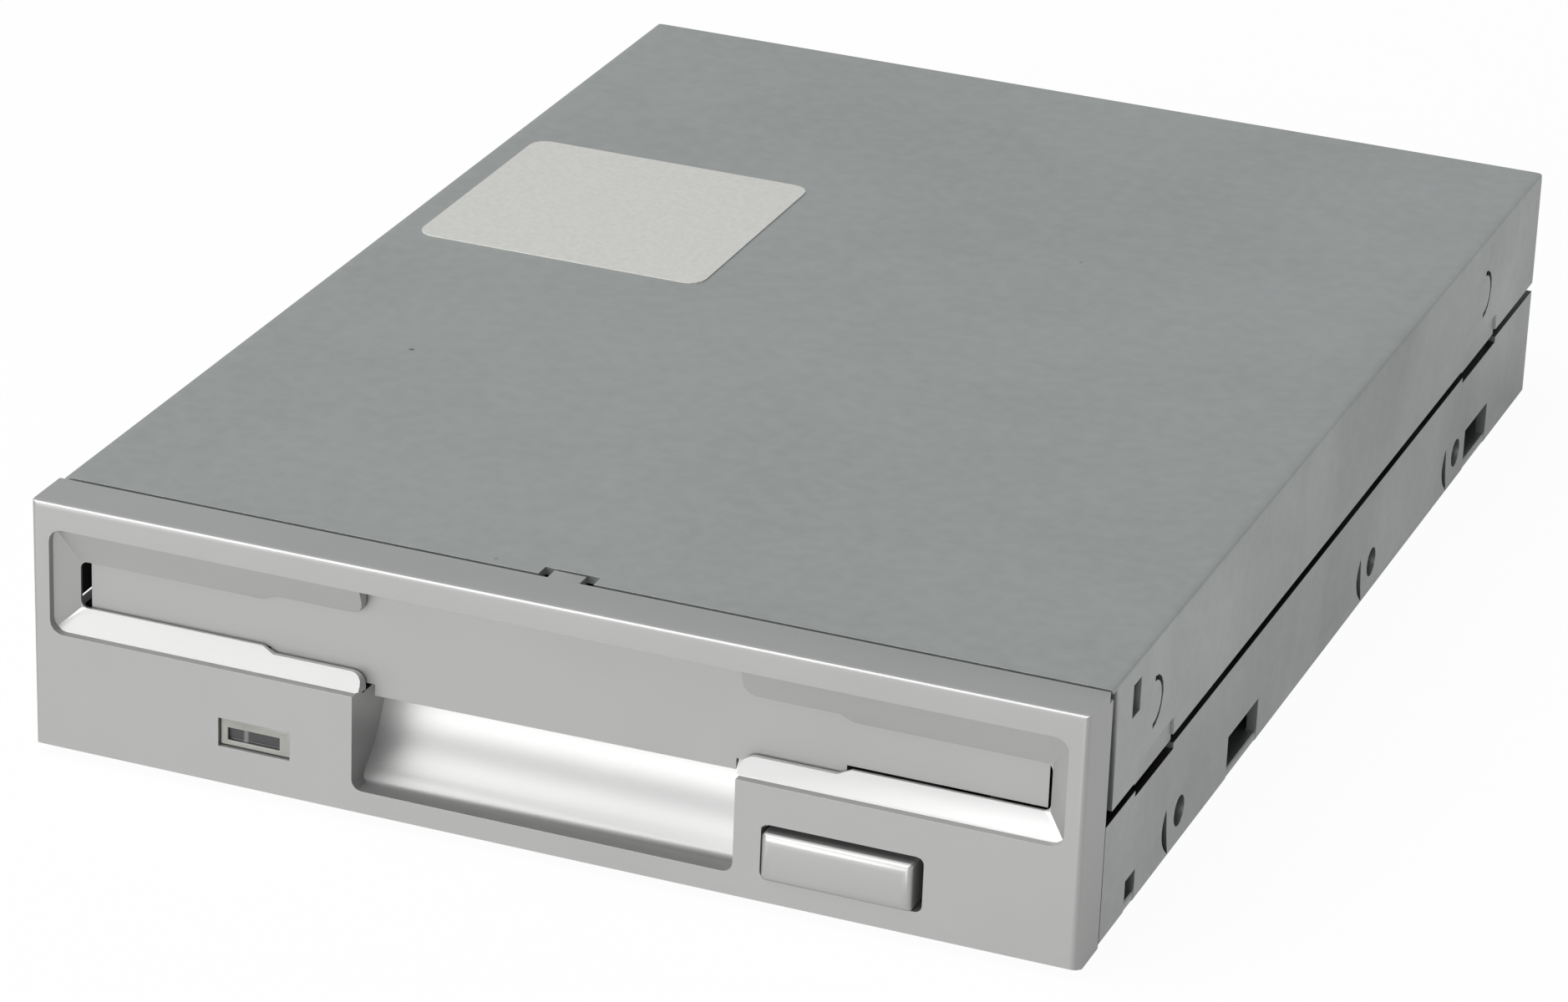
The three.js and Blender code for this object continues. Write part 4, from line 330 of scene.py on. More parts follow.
cover_zinc = plated_sheet(
    "dull_zinc_plated_sheet", "#a8aba9", "#a0a3a1", "#6c6f6d", roughness=0.42, metallic=0.9)
chassis_zinc = plated_sheet(
    "pressed_zinc_plated_sheet", "#a3a6a4", "#9a9c9b", "#5f6260", roughness=0.40, metallic=0.9)
bright_plate = plated_sheet(
    "bright_nickel_plated_steel", "#b9bab8", "#adaeac", "#77787a", roughness=0.28, metallic=1.0)
print("made", cover_zinc.name, chassis_zinc.name, bright_plate.name)

# %% [markdown]
# ## The other finishes
#
# Each remaining finish is a shader with one noise that varies both its colour and its height.
# The size of the noise sets them apart: a black moulding shows its glass filling as a fine
# sparkle, paper has fibre, and nylon is cloudy.

# %% Finishes with one grain
def grained(name, colour, second, grain_mm, settings, bump_strength=0.1):
    """A finish with one noise in its colour and its height."""
    material, tree, shader, place = start_finish(name, settings)
    pattern = noise(tree, place, grain_mm, {"Detail": 4.0})
    share = remap(tree, pattern, (0.35, 0.65))
    feed(tree, blend(tree, share, colour, second), shader, "Base Color")
    roughen(tree, shader, pattern, bump_strength, depth=0.02)
    return material


label_paper = grained("matt_label_paper", "#c6c6c2", "#bfbfbb", 0.5, {"Roughness": 0.75}, 0.08)
natural_nylon = grained("natural_nylon_moulding", "#dcd8ca", "#d0cbbb", 3,
                        {"Roughness": 0.45, "IOR": 1.53, "Subsurface Weight": 0.15,
                         "Subsurface Scale": 0.5 * MM})
black_moulding = grained("glass_filled_black_polyester", "#2a2b2d", "#232426", 0.25,
                         {"Roughness": 0.5, "IOR": 1.57})
chip_epoxy = grained("moulded_black_epoxy", "#2c2c2e", "#252527", 0.15,
                     {"Roughness": 0.62, "IOR": 1.55})
turned_brass = grained("turned_brass", "#b8955a", "#a98649", 0.6,
                       {"Metallic": 1.0, "Roughness": 0.3})
copper_wire = grained("enamelled_copper_wire", "#a5603a", "#8f4d2b", 0.4,
                      {"Metallic": 0.8, "Roughness": 0.33, "Coat Weight": 0.6})
ferrite = grained("bonded_ferrite", "#35332f", "#2c2a27", 0.3, {"Roughness": 0.6})
amber_film = grained("amber_polyimide_film", "#b27f38", "#a5722d", 2,
                     {"Roughness": 0.3, "IOR": 1.7, "Coat Weight": 0.3})
solder_mask = grained("green_solder_mask", "#1f5a36", "#1a4f2e", 1.2,
                      {"Roughness": 0.35, "IOR": 1.5})
gold_flash = grained("gold_flashed_pin", "#c8a765", "#bd9b58", 0.5,
                     {"Metallic": 1.0, "Roughness": 0.25})
tin_solder = grained("tinned_lead", "#b4b5b6", "#a4a5a6", 0.3,
                     {"Metallic": 1.0, "Roughness": 0.35})
milky_acrylic = grained("milky_acrylic", "#a6a7a3", "#9c9d99", 1.5,
                        {"Roughness": 0.25, "IOR": 1.49, "Subsurface Weight": 0.2,
                         "Subsurface Scale": 0.5 * MM})
print("there are now", len(bpy.data.materials), "materials")

# %% [markdown]
# ## The window of the activity lamp
#
# The window is milky, and its middle is sunk by 0.8 mm. Through the sunk part the dark lamp
# shows as a bar, with a paler line where its two halves meet. The finish knows by its place in
# the drive which points of the light guide lie on the floor of the sunk part.

# %% The lamp behind the window
BAR = {"X": (-31.3, -25.95), "Z": (5.12, 6.5), "Y": (-72.1, -69)}
SEAM, SEAM_BLUR = (-29.75, -29.35), 0.2


def within(tree, place, axis, band, blur=0.12):
    """One between two places along an axis, in millimetres, and nothing outside them."""
    low, high = band
    middle, half = (low + high) / 2 * MM, (high - low) / 2 * MM
    apart = calculate(tree, "ABSOLUTE", calculate(tree, "SUBTRACT", (place, axis), middle))
    return remap(tree, apart, (half - blur * MM / 2, half + blur * MM / 2), (1.0, 0.0))


window_acrylic, tree, shader, place = start_finish(
    "milky_acrylic_window", {"Roughness": 0.25, "IOR": 1.49})
milk = blend(tree, noise(tree, place, 1.5, {}), "#94958f", "#858680")
place = add(tree, "ShaderNodeSeparateXYZ", links={0: (place, "Object")})
bar_x, bar_z, bar_y = (within(tree, place, axis, band) for axis, band in BAR.items())
bar = calculate(tree, "MULTIPLY", calculate(tree, "MULTIPLY", bar_x, bar_z), bar_y)
seam = within(tree, place, "X", SEAM, SEAM_BLUR)
window_tint = blend(tree, bar, milk, blend(tree, seam, "#3e3e40", "#747476"))
feed(tree, window_tint, shader, "Base Color")
print("made", window_acrylic.name)

# %% [markdown]
# ## Bare cut edges
#
# The seam along each side, between the cover and the chassis wall, lies in shade and looks nearly
# black. That shade is painted here: the upper edges of the chassis walls are coloured nearly
# black. The finish finds those edges by itself: they face up, and they lie above the floor of the
# chassis.

# %% Paint shade on the upper edges of the chassis walls
SEAM_SHADE_BAND, FACES_UP = (5.5, 21), 0.8

tree = chassis_zinc.node_tree
shader = next(node for node in tree.nodes if node.type == "BSDF_PRINCIPLED")
plating = shader.inputs["Base Color"].links[0].from_node, MIXED_COLOUR
normal = (add(tree, "ShaderNodeNewGeometry"), "Normal")
facing = add(tree, "ShaderNodeSeparateXYZ", links={0: normal})
place = (add(tree, "ShaderNodeTexCoord"), "Object")
place = add(tree, "ShaderNodeSeparateXYZ", links={0: place})
# Painted shade: faces that point up within this band of heights, the tops of the chassis walls in
# the side seams, are coloured nearly black to stand for the shade in the seams.
upward = calculate(tree, "GREATER_THAN", (facing, "Z"), FACES_UP)
edge = calculate(tree, "MULTIPLY", upward, within(tree, place, "Z", SEAM_SHADE_BAND))
feed(tree, blend(tree, edge, plating, "#2e2c2a"), shader, "Base Color")
print("the cut edges of", chassis_zinc.name, "are dark")

# %% [markdown]
# ## Which piece has which finish
#
# The mechanical pieces keep their own meshes and only take a material here. Those that need a
# softer edge or more detail are dressed further on.

# %% Give every mechanical piece its finish
finishes = {
    bezel_abs: ["front_bezel", "door_flap", "eject_button"],
    milky_acrylic: ["lamp"],
    window_acrylic: ["light_guide"],
    cover_zinc: ["top_cover"],
    chassis_zinc: ["chassis", "disk_holder", "slide_plate", "stepper_bracket", "stepper_case",
                   "rotor_yoke"],
    bright_plate: ["door_spring", "slide_post_left_front", "slide_post_left_rear",
                   "slide_post_right_front", "slide_post_right_rear", "slide_spring_left",
                   "slide_spring_right", "guide_rod", "holder_pin_left_front",
                   "holder_pin_left_rear", "holder_pin_right_front", "holder_pin_right_rear",
                   "lever_pivot", "lever_spring", "shutter_lever", "spindle_hub", "lead_screw",
                   "arm_spring", "drive_pin", "rod_clamp_front", "rod_clamp_rear"],
    label_paper: ["cover_label"],
    turned_brass: ["spindle_bearing", "screw_bush"],
    solder_mask: ["motor_board", "main_board"],
    copper_wire: ["stator"],
    ferrite: ["hub_magnet", "ring_magnet", "lower_head", "upper_head"],
    black_moulding: ["data_connector", "disk_switch", "write_protect_switch", "density_switch",
                     "track_zero_sensor", "head_carriage", "upper_arm"],
    chip_epoxy: ["control_chip", "driver_chip"],
    natural_nylon: ["power_connector", "lever_peg", "disk_plunger", "write_protect_plunger",
                    "density_plunger"],
    amber_film: ["head_cable"],
}
finish_of = {name: material for material, names in finishes.items() for name in names}
for name, piece in frame["nodes"].items():
    piece.data.materials.clear()
    piece.data.materials.append(finish_of[name])
print("finished", len(finish_of), "of", len(frame["nodes"]), "pieces")

# %% [markdown]
# ## Softer edges
#
# No real edge is perfectly sharp: a mould cutter leaves a radius and a press leaves a burr that
# is tumbled off. A sharp edge in a render catches no light and gives a model away at once. So
# the pieces that show get a dressed copy: the same shape as one connected skin, with a small
# bevel on every real edge. The copy stands for the mechanical piece and moves with the same body.

# %% Dress a piece with rounded edges
FACE = 72.6
CORNER, CORNER_STEPS, CORNER_REACH = 0.7, 5, 0.05
WELD, FLAT_ANGLE, SMOOTH_ANGLE, EDGE_ANGLE = 0.002, 1, 32, 40

body_of = {name: body for body, names in frame["record"]["behaviour"]["bodies"].items()
           for name in names}


def show(name, mesh, body, material):
    """Puts a mesh in the scene as a piece that rides on a body, with its finish."""
    piece = bpy.data.objects.new(name, mesh)
    bpy.context.scene.collection.objects.link(piece)
    mesh.materials.clear()
    mesh.materials.append(material)
    mesh.shade_smooth()
    mesh.set_sharp_from_angle(angle=math.radians(SMOOTH_ANGLE))
    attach(piece, body)
    return piece


def along_corner(edge, corners):
    """Whether an edge runs from front to rear through one of these (x, z) corners."""
    return all(any(math.hypot(end.co.x / MM - x, end.co.z / MM - z) < CORNER_REACH
                   for x, z in corners) for end in edge.verts
               ) and abs(edge.verts[0].co.y - edge.verts[1].co.y) > MM


def dress(node, edge_mm, segments, moves, corners=()):
    """A dressed copy of a mechanical piece, with its edges rounded to this width."""
    skin = bmesh.new()
    skin.from_mesh(frame["nodes"][node].data)
    bmesh.ops.remove_doubles(skin, verts=skin.verts, dist=WELD * MM)
    bmesh.ops.dissolve_limit(skin, angle_limit=math.radians(FLAT_ANGLE), verts=skin.verts,
                             edges=skin.edges)
    rounded = [edge for edge in skin.edges if along_corner(edge, corners)]
    bmesh.ops.bevel(skin, geom=rounded, offset=CORNER * MM, segments=CORNER_STEPS, profile=0.5,
                    affect="EDGES")
    for move in moves:
        for vertex in skin.verts:
            x, depth, z = vertex.co / MM + Vector((0, FACE, 0))
            vertex.co = (Vector(move(x, depth, z)) - Vector((0, FACE, 0))) * MM
    mesh = bpy.data.meshes.new(node + "_skin")
    skin.to_mesh(mesh)
    skin.free()
    piece = show(node + "_skin", mesh, body_of[node], finish_of[node])
    bevel = piece.modifiers.new("rounded_edges", "BEVEL")
    bevel.width = edge_mm * MM
    bevel.segments = segments
    bevel.limit_method = "ANGLE"
    bevel.angle_limit = math.radians(EDGE_ANGLE)
    bevel.use_clamp_overlap = True
    bevel.harden_normals = True
    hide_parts(node)
    return piece


print("the bezel's face is", FACE, "mm in front of the middle")

# %% [markdown]
# ## Fine adjustments to the bezel
#
# The mechanical model keeps its walls simple. A close look at the real bezel shows that the
# slopes round the slot are steeper and that the flap lies deeper. Such changes of about a
# millimetre are moves of the skin's points: each function below takes a point, in millimetres
# with its depth behind the bezel's face, and gives back where it goes.

# %% Steeper slopes, a deeper flap and a tighter brow
SLOPE_START, SLOT_EDGE, LIP_BACK = 0.8, 1.4, 1.7
SLOT_HALF, SLOT_END, POCKET_HALF, SLOT_CORNER = 46.8, 46.9, 48.1, 40
RECESS_LOW, RECESS_HIGH = 12.37, 22.86
DEEPER, LOWER, WIDER = 0.8, 0.4, 0.25
TOUCH, SLACK = 0.05, 0.02
FLAP_BACK, FLAP_MIDDLE, FLAP_SHIFT = 2, 16, 0.45
FLAP_DROP_LEFT, FLAP_DROP_RIGHT = 0.95, 0.6
RAMP_HALF, RAMP_FRONT, RAMP_BACK = 18.7, 1.2, 3.3
RAMP_FOOT, RAMP_TOP, RAMP_RISE, RAMP_SHIFT = 3, 3.6, 0.5, 0.3
BROW_DEPTH, BROW_HEIGHT, BROW_RADIUS = 0.6, 24.8, 0.3


def deepen_slot(x, depth, z):
    """Pushes the edge of the slot back, so that the slopes round it get steeper."""
    inside = abs(x) < SLOT_HALF + TOUCH and RECESS_LOW + SLACK < z < RECESS_HIGH - SLACK
    if abs(abs(x) - SLOT_END) < TOUCH and depth > SLOT_EDGE:
        return math.copysign(POCKET_HALF, x), max(depth, LIP_BACK + DEEPER), z
    if abs(depth - LIP_BACK) < 2 * TOUCH and not inside:
        return x, depth + DEEPER, z
    if not inside or not SLOPE_START < depth < LIP_BACK + SLACK:
        return x, depth, z
    share = min((depth - SLOPE_START) / (SLOT_EDGE - SLOPE_START), 1)
    spread = WIDER * share if abs(x) > SLOT_CORNER else 0
    return x + math.copysign(spread, x), depth + DEEPER * share, z - LOWER * share


def deepen_flap(x, depth, z):
    """Sets the front of the flap back behind the deeper slot, and lowers its lower edge."""
    if depth > FLAP_BACK:
        return x, depth, z
    drop = 0 if z > FLAP_MIDDLE else FLAP_DROP_LEFT if x < 0 else FLAP_DROP_RIGHT
    return x + (FLAP_SHIFT if x > SLOT_CORNER else 0), depth + DEEPER, z - drop


def steeper_foot(x, depth, z):
    """Sets the foot of the scoop's ramp back, so that the ramp meets its rim at an angle."""
    on_ramp = (abs(x) < RAMP_HALF and RAMP_FOOT < z < RAMP_TOP
               and RAMP_FRONT < depth < RAMP_BACK)
    return x, depth + (RAMP_SHIFT * (RAMP_TOP - z) / RAMP_RISE if on_ramp else 0), z


def tighter_brow(x, depth, z):
    """Gives the upper front edge of the bezel half its radius."""
    if depth > BROW_DEPTH or z < BROW_HEIGHT:
        return x, depth, z
    return x, BROW_RADIUS - (BROW_DEPTH - depth) / 2, (
        BROW_HEIGHT + BROW_RADIUS + (z - BROW_HEIGHT) / 2)


print("the slot's edge goes from", SLOT_EDGE, "to", round(SLOT_EDGE + DEEPER, 1), "mm deep")

# %% [markdown]
# ## Fine adjustments to the button and the window
#
# The edge of the button's face is rounder than in the mechanical model, which widens the soft
# light along its rim. The window lies a little behind the face of the bezel.

# %% A rounder button and a deeper window
BUTTON_X, BUTTON_Z = (21.45, 35.7), (3.3, 7.93)
BUTTON_EDGE, BUTTON_WIDEN, BUTTON_FRONT = 0.7, 1.65, -0.15
SINK_X, SINK_Z, SINK_DEPTH = (-31.3, -25.5), (5.3, 6.7), 1
SINK_RIGHT, SINK_DROP, WINDOW_BACK = -26, 0.2, 0.35


def rounder_button(x, depth, z):
    """Makes the rounded edge of the button's face wider, from 0.6 to 1 mm."""
    if depth > BUTTON_FRONT:
        return x, depth, z
    sides = []
    for value, (low, high) in ((x, BUTTON_X), (z, BUTTON_Z)):
        inset = min(value - low, high - value)
        inset *= BUTTON_WIDEN if inset < BUTTON_EDGE else 1
        sides.append(low + inset if value - low < high - value else high - inset)
    return sides[0], depth, sides[1]


def sink_window(x, depth, z):
    """Sets the milky window a little behind the face, with its dark middle as on the drive."""
    if SINK_X[0] < x < SINK_X[1] and SINK_Z[0] < z < SINK_Z[1] and depth < SINK_DEPTH:
        x, z = min(x, SINK_RIGHT), z - SINK_DROP
    return x, max(depth, WINDOW_BACK), z


print("the window lies", WINDOW_BACK, "mm behind the face")

# %% [markdown]
# ## Fine adjustments to the sheet
#
# The folds of the real cover are tighter, a dark line shows before its front edge, and the seam
# above the chassis is wider. The curved cut in front of each side hole opens a little more.

# %% Tighter folds, a wider seam and bolder cuts
FOLD_CENTRE, FOLD_OLD, FOLD_NEW = (49.9, 24.3), 0.9, 0.4
COVER_EDGE, COVER_SHIFT, COVER_UPPER = 5.6, 0.7, 24
SKIRT_X, SKIRT_TOP, SKIRT_DEPTH, SEAM_LIFT = 49.7, 23, (6.4, 146), 0.15
SIDE_HOLES = (28.1, 88.1, 118.1)
CUT_X, CUT_TOP, CUT_FRONT = 49.5, 5.6, -4.4
CUT_RIM, CUT_CURVE, CUT_CENTRE = -3.9, 0.087, 3.9
CUT_WIDEN, CUT_MIDDLE, CUT_HALF = 0.7, 3.2, 2.6


def tighter(centre, old, new):
    """Makes a rounded edge tighter: it keeps its two faces and gets a smaller radius."""
    def move(x, depth, z):
        side, height = abs(x) - centre[0], z - centre[1]
        if side < 0 or height < 0 or not 0.9 * old < math.hypot(side, height) < 1.05 * old:
            return x, depth, z
        shift = old - new
        scale = new / old
        return math.copysign(centre[0] + shift + side * scale, x), depth, (
            centre[1] + shift + height * scale)
    return move


def set_back(x, depth, z):
    """Sets the front edge of the cover back a little, so that a dark line shows before it."""
    return x, depth + (COVER_SHIFT if depth < COVER_EDGE and z > COVER_UPPER else 0), z


def wider_seam(x, depth, z):
    """Lifts the lower edge of the cover's skirts, which widens the dark seam."""
    on_skirt = abs(x) > SKIRT_X and z < SKIRT_TOP and SKIRT_DEPTH[0] < depth < SKIRT_DEPTH[1]
    return x, depth, z + (SEAM_LIFT if on_skirt else 0)


def bolder_crescents(x, depth, z):
    """Widens the curved cuts in front of the six side holes, most in their middle."""
    for hole in SIDE_HOLES:
        rim = CUT_RIM + CUT_CURVE * (CUT_CENTRE - z) ** 2
        if abs(x) > CUT_X and z < CUT_TOP and CUT_FRONT < depth - hole < rim:
            return x, depth - CUT_WIDEN * max(0, 1 - ((z - CUT_MIDDLE) / CUT_HALF) ** 2), z
    return x, depth, z


print("the folds of the cover go from", FOLD_OLD, "to", FOLD_NEW, "mm")

# %% [markdown]
# ## Dress the pieces that show
#
# Each piece gets its own width of edge, its number of steps and its moves. The opening for the
# button also has rounded corners, which are named by their place.

# %% Dress them
BUTTON_CORNERS = [(x, z) for x in (21.2, 36.5) for z in (3.2, 8.6)]
dressed = {
    "front_bezel": (0.2, 3, [deepen_slot, steeper_foot, tighter_brow]),
    "door_flap": (0.15, 2, [deepen_flap]),
    "light_guide": (0.1, 2, [sink_window]),
    "eject_button": (0.3, 3, [rounder_button]),
    "top_cover": (0.15, 2, [tighter(FOLD_CENTRE, FOLD_OLD, FOLD_NEW), set_back, wider_seam]),
    "chassis": (0.12, 2, [bolder_crescents]),
}
for node, (edge, segments, moves) in dressed.items():
    piece = dress(node, edge, segments, moves, BUTTON_CORNERS if node == "front_bezel" else ())
    print(node, "has", len(piece.data.polygons), "faces before its bevel")

# %% [markdown]
# ## Shapes that repeat
#
# Pins, legs, screws and chip parts are made in one mould or die and used many times. Each is
# drawn once here, as a stack of rings that are joined by faces: a pin has square rings that taper
# at the tip, a leg is a flat strip bent twice, a screw has round rings and a cross pressed in.

# %% Draw each repeated shape once
def loft(name, rings):
    """An object made of rings of points joined by faces, closed at both ends."""
    skin = bmesh.new()
    rows = [[skin.verts.new(Vector(point) * MM) for point in ring] for ring in rings]
    for one, two in zip(rows, rows[1:]):
        for i in range(len(one)):
            skin.faces.new((one[i - 1], one[i], two[i], two[i - 1]))
    skin.faces.new(rows[0])
    skin.faces.new(list(reversed(rows[-1])))
    bmesh.ops.recalc_face_normals(skin, faces=skin.faces)
    mesh = bpy.data.meshes.new(name)
    skin.to_mesh(mesh)
    skin.free()
    shape = bpy.data.objects.new(name, mesh)
    bpy.context.scene.collection.objects.link(shape)
    return shape


def square_ring(y, wide, tall):
    """A ring across a bar that runs along y, from its half width and half height."""
    return [(-wide, y, -tall), (wide, y, -tall), (wide, y, tall), (-wide, y, tall)]


def flat_ring(wide, points):
    """A ring across a strip, between its upper and its lower (y, z) point."""
    (y1, z1), (y2, z2) = points
    return [(-wide, y1, z1), (wide, y1, z1), (wide, y2, z2), (-wide, y2, z2)]


def round_ring(radius, z, arm=0):
    """A round ring of 24 points, with arm the ring has the outline of a cross."""
    ring = []
    for i in range(24):
        turn = math.radians(15 * i)
        reach = radius if not arm or i % 6 in (0, 1, 5) else arm
        ring.append((reach * math.cos(turn), reach * math.sin(turn), z))
    return ring


PIN = ((0, 0.34), (5.6, 0.34), (6.05, 0.16))
LEG_HALF = 0.19
LEG = (((-0.2, 0.86), (-0.2, 0.68)), ((0.36, 0.86), (0.28, 0.68)), ((0.56, 0.2), (0.4, 0.02)),
       ((1.0, 0.18), (1.0, 0.02)))
SCREW = ((1.75, 0.02), (1.8, 0.5), (1.6, 0.95), (1.2, 1.2), (0.95, 1.24, 0.4), (0.8, 0.6, 0.32))
CHIP_BODY, CHIP_ENDS = (0.7, 0.62, 0.3), (1, 0.58, 0.25)

pin_shape = loft("square_pin", [square_ring(y, half, half) for y, half in PIN])
leg_shape = loft("bent_leg", [flat_ring(LEG_HALF, pair) for pair in LEG])
screw_shape = loft("pan_head_screw", [round_ring(*ring) for ring in SCREW])
chip_body, chip_ends = (
    loft(name, [square_ring(y, wide, tall) for y in (-long, long)])
    for name, (long, wide, tall) in (("chip_part_body", CHIP_BODY), ("chip_part_ends", CHIP_ENDS)))
repeated = (pin_shape, leg_shape, screw_shape, chip_body, chip_ends)
print("drew", [shape.name for shape in repeated])

# %% [markdown]
# ## Geometry nodes that set them out
#
# The first tree counts: from the number of each copy it works out its column, its row and its
# side of a square, so the same tree sets out two rows of connector pins and the legs on four
# sides of a chip. The second puts a copy on each point of a mesh and gives some a quarter turn.
# Both end in the same way, so that end is one function.

# %% Two trees that set out copies
def new_tree(name, inputs):
    """A node tree with a geometry output and these inputs: name to socket kind."""
    tree = bpy.data.node_groups.new(name, "GeometryNodeTree")
    tree.interface.new_socket(name="Geometry", in_out="OUTPUT", socket_type="NodeSocketGeometry")
    for label, kind in inputs.items():
        tree.interface.new_socket(name=label, in_out="INPUT", socket_type="NodeSocket" + kind)
    return tree, add(tree, "NodeGroupInput")


def end_tree(tree, given, geometry):
    """Ends a tree: the copies become one mesh with the finish that is asked for."""
    real = add(tree, "GeometryNodeRealizeInstances", links={"Geometry": geometry})
    done = add(tree, "GeometryNodeSetMaterial",
               links={"Geometry": (real, 0), "Material": (given, "Material")})
    add(tree, "NodeGroupOutput", links={"Geometry": (done, 0)})


def set_out(tree, given, points, turn):
    """Puts a copy of the shape on each point, turned about the upright axis, and ends."""
    shape = add(tree, "GeometryNodeObjectInfo", links={"Object": (given, "Shape")})
    facing = add(tree, "ShaderNodeCombineXYZ", links={2: turn})
    copies = add(tree, "GeometryNodeInstanceOnPoints", links={
        "Points": (points, 0), "Instance": (shape, "Geometry"), "Rotation": (facing, 0)})
    end_tree(tree, given, (copies, 0))


in_rows, given = new_tree("in_rows", {
    "Shape": "Object", "Columns": "Int", "Rows": "Int", "Sides": "Int", "Pitch": "Float",
    "Distance": "Float", "Material": "Material"})
columns, rows, sides = ((given, label) for label in ("Columns", "Rows", "Sides"))
number = (add(in_rows, "GeometryNodeInputIndex"), 0)
on_side = calculate(in_rows, "MULTIPLY", columns, rows)
side = calculate(in_rows, "FLOOR", calculate(in_rows, "DIVIDE", number, on_side))
line = calculate(in_rows, "FLOOR", calculate(in_rows, "DIVIDE", number, columns))
spots = []
for count, index in ((columns, calculate(in_rows, "FLOORED_MODULO", number, columns)),
                     (rows, calculate(in_rows, "FLOORED_MODULO", line, rows))):
    half = calculate(in_rows, "DIVIDE", calculate(in_rows, "SUBTRACT", count, 1), 2)
    spots.append(calculate(in_rows, "MULTIPLY", calculate(in_rows, "SUBTRACT", index, half),
                           (given, "Pitch")))
turn = calculate(in_rows, "DIVIDE", calculate(in_rows, "MULTIPLY", side, 2 * math.pi), sides)
spot = add(in_rows, "ShaderNodeCombineXYZ",
           links={0: spots[0], 1: (given, "Distance"), 2: spots[1]})
spot = add(in_rows, "ShaderNodeVectorRotate", {"rotation_type": "Z_AXIS"},
           {"Vector": (spot, 0), "Angle": turn})
points = add(in_rows, "GeometryNodePoints", links={
    "Count": calculate(in_rows, "MULTIPLY", on_side, sides), "Position": (spot, 0)})
set_out(in_rows, given, points, turn)

on_points, given = new_tree("on_points", {
    "Geometry": "Geometry", "Shape": "Object", "Turned": "Float", "Seed": "Int",
    "Material": "Material"})
chance = add(on_points, "FunctionNodeRandomValue", {"data_type": "FLOAT"},
             {"Seed": (given, "Seed")})
is_turned = calculate(on_points, "LESS_THAN", (chance, 1), (given, "Turned"))
turn = calculate(on_points, "MULTIPLY", is_turned, math.pi / 2)
points = add(on_points, "GeometryNodeMeshToPoints", links={"Mesh": (given, "Geometry")})
set_out(on_points, given, points, turn)
print("made", [tree.name for tree in bpy.data.node_groups])

# %% [markdown]
# ## From a tree to a piece
#
# A tree is run once, with its inputs set by name, and its result becomes a plain mesh that is put
# in its place and shown like any other piece. The tree itself is not part of the drive.

# %% Run a tree
def make(name, tree, values, place, body, material, base=()):
    """Runs a tree with these input values and shows its mesh at a place."""
    mesh = bpy.data.meshes.new(name)
    mesh.from_pydata([Vector(point) * MM for point in base], [], [])
    maker = bpy.data.objects.new(name + "_maker", mesh)
    bpy.context.scene.collection.objects.link(maker)
    modifier = maker.modifiers.new("copies", "NODES")
    modifier.node_group = tree
    for item in tree.interface.items_tree:
        if item.in_out == "INPUT" and item.name != "Geometry":
            modifier[item.identifier] = {**values, "Material": material}[item.name]
    ready = maker.evaluated_get(bpy.context.evaluated_depsgraph_get())
    made = bpy.data.meshes.new_from_object(ready)
    made.name = name
    made.transform(place)
    maker.modifiers.clear()
    bpy.data.objects.remove(maker)
    print(name, "has", len(made.polygons), "faces")
    show(name, made, body, material)


def at(x, y, z):
    """The move to a place in the drive, in millimetres."""
    return Matrix.Translation(Vector((x, y, z)) * MM)


print("a tree can now become a piece")

# %% [markdown]
# ## Pins and legs
#
# The pins lie over the plain ones of the mechanical model: those for data are gold flashed, in
# two rows a tenth of an inch apart, and those for power are tinned. The chips get tinned legs
# that are bent like a gull's wing.

# %% Make the pins and legs
DATA_PLACE, DATA_PITCH = (10, 65.95, 9.1), 2.54
POWER_PLACE, POWER_PITCH = (-31, 66.45, 8.05), 2.5
BOARD_TOP = 4.6
CONTROL_PLACE, CONTROL_PITCH, CONTROL_HALF = (38, 45.4, BOARD_TOP), 1.0, 6
DRIVER_PLACE, DRIVER_PITCH, DRIVER_HALF = (-8, 55.4, BOARD_TOP), 1.27, 4.5

make("data_pins", in_rows, {"Shape": pin_shape, "Columns": 17, "Rows": 2, "Sides": 1,
                            "Pitch": DATA_PITCH * MM, "Distance": 0.0},
     at(*DATA_PLACE), body_of["data_connector"], gold_flash)
make("power_pins", in_rows, {"Shape": pin_shape, "Columns": 4, "Rows": 1, "Sides": 1,
                             "Pitch": POWER_PITCH * MM, "Distance": 0.0},
     at(*POWER_PLACE), body_of["power_connector"], tin_solder)
make("control_chip_legs", in_rows, {"Shape": leg_shape, "Columns": 9, "Rows": 1, "Sides": 4,
                                    "Pitch": CONTROL_PITCH * MM, "Distance": CONTROL_HALF * MM},
     at(*CONTROL_PLACE), body_of["control_chip"], tin_solder)
make("driver_chip_legs", in_rows, {"Shape": leg_shape, "Columns": 4, "Rows": 1, "Sides": 2,
                                   "Pitch": DRIVER_PITCH * MM, "Distance": DRIVER_HALF * MM},
     at(*DRIVER_PLACE) @ Matrix.Rotation(math.pi / 2, 4, "Z"), body_of["driver_chip"],
     tin_solder)

# %% [markdown]
# ## Screws and chip parts
#
# Four screws hold the main board, and small chip parts stand in two fields on it. Each chip part
# is a dark body with two tinned ends, made as two pieces from the same places and the same seed,
# so that both turn together. After this the shapes that were copied aren't needed any more.

# %% Make the screws and chip parts
HOLES_X, HOLES_Y = (-44, 44), (37.4, 66.4)
PART_LIFT = 0.3
LEFT_FIELD = ((-46, -42.5, -39, -35.5), (43.5, 47.5, 51.5, 55.5, 59.5))
RIGHT_FIELD = ((28, 32, 36, 40), (55, 59))

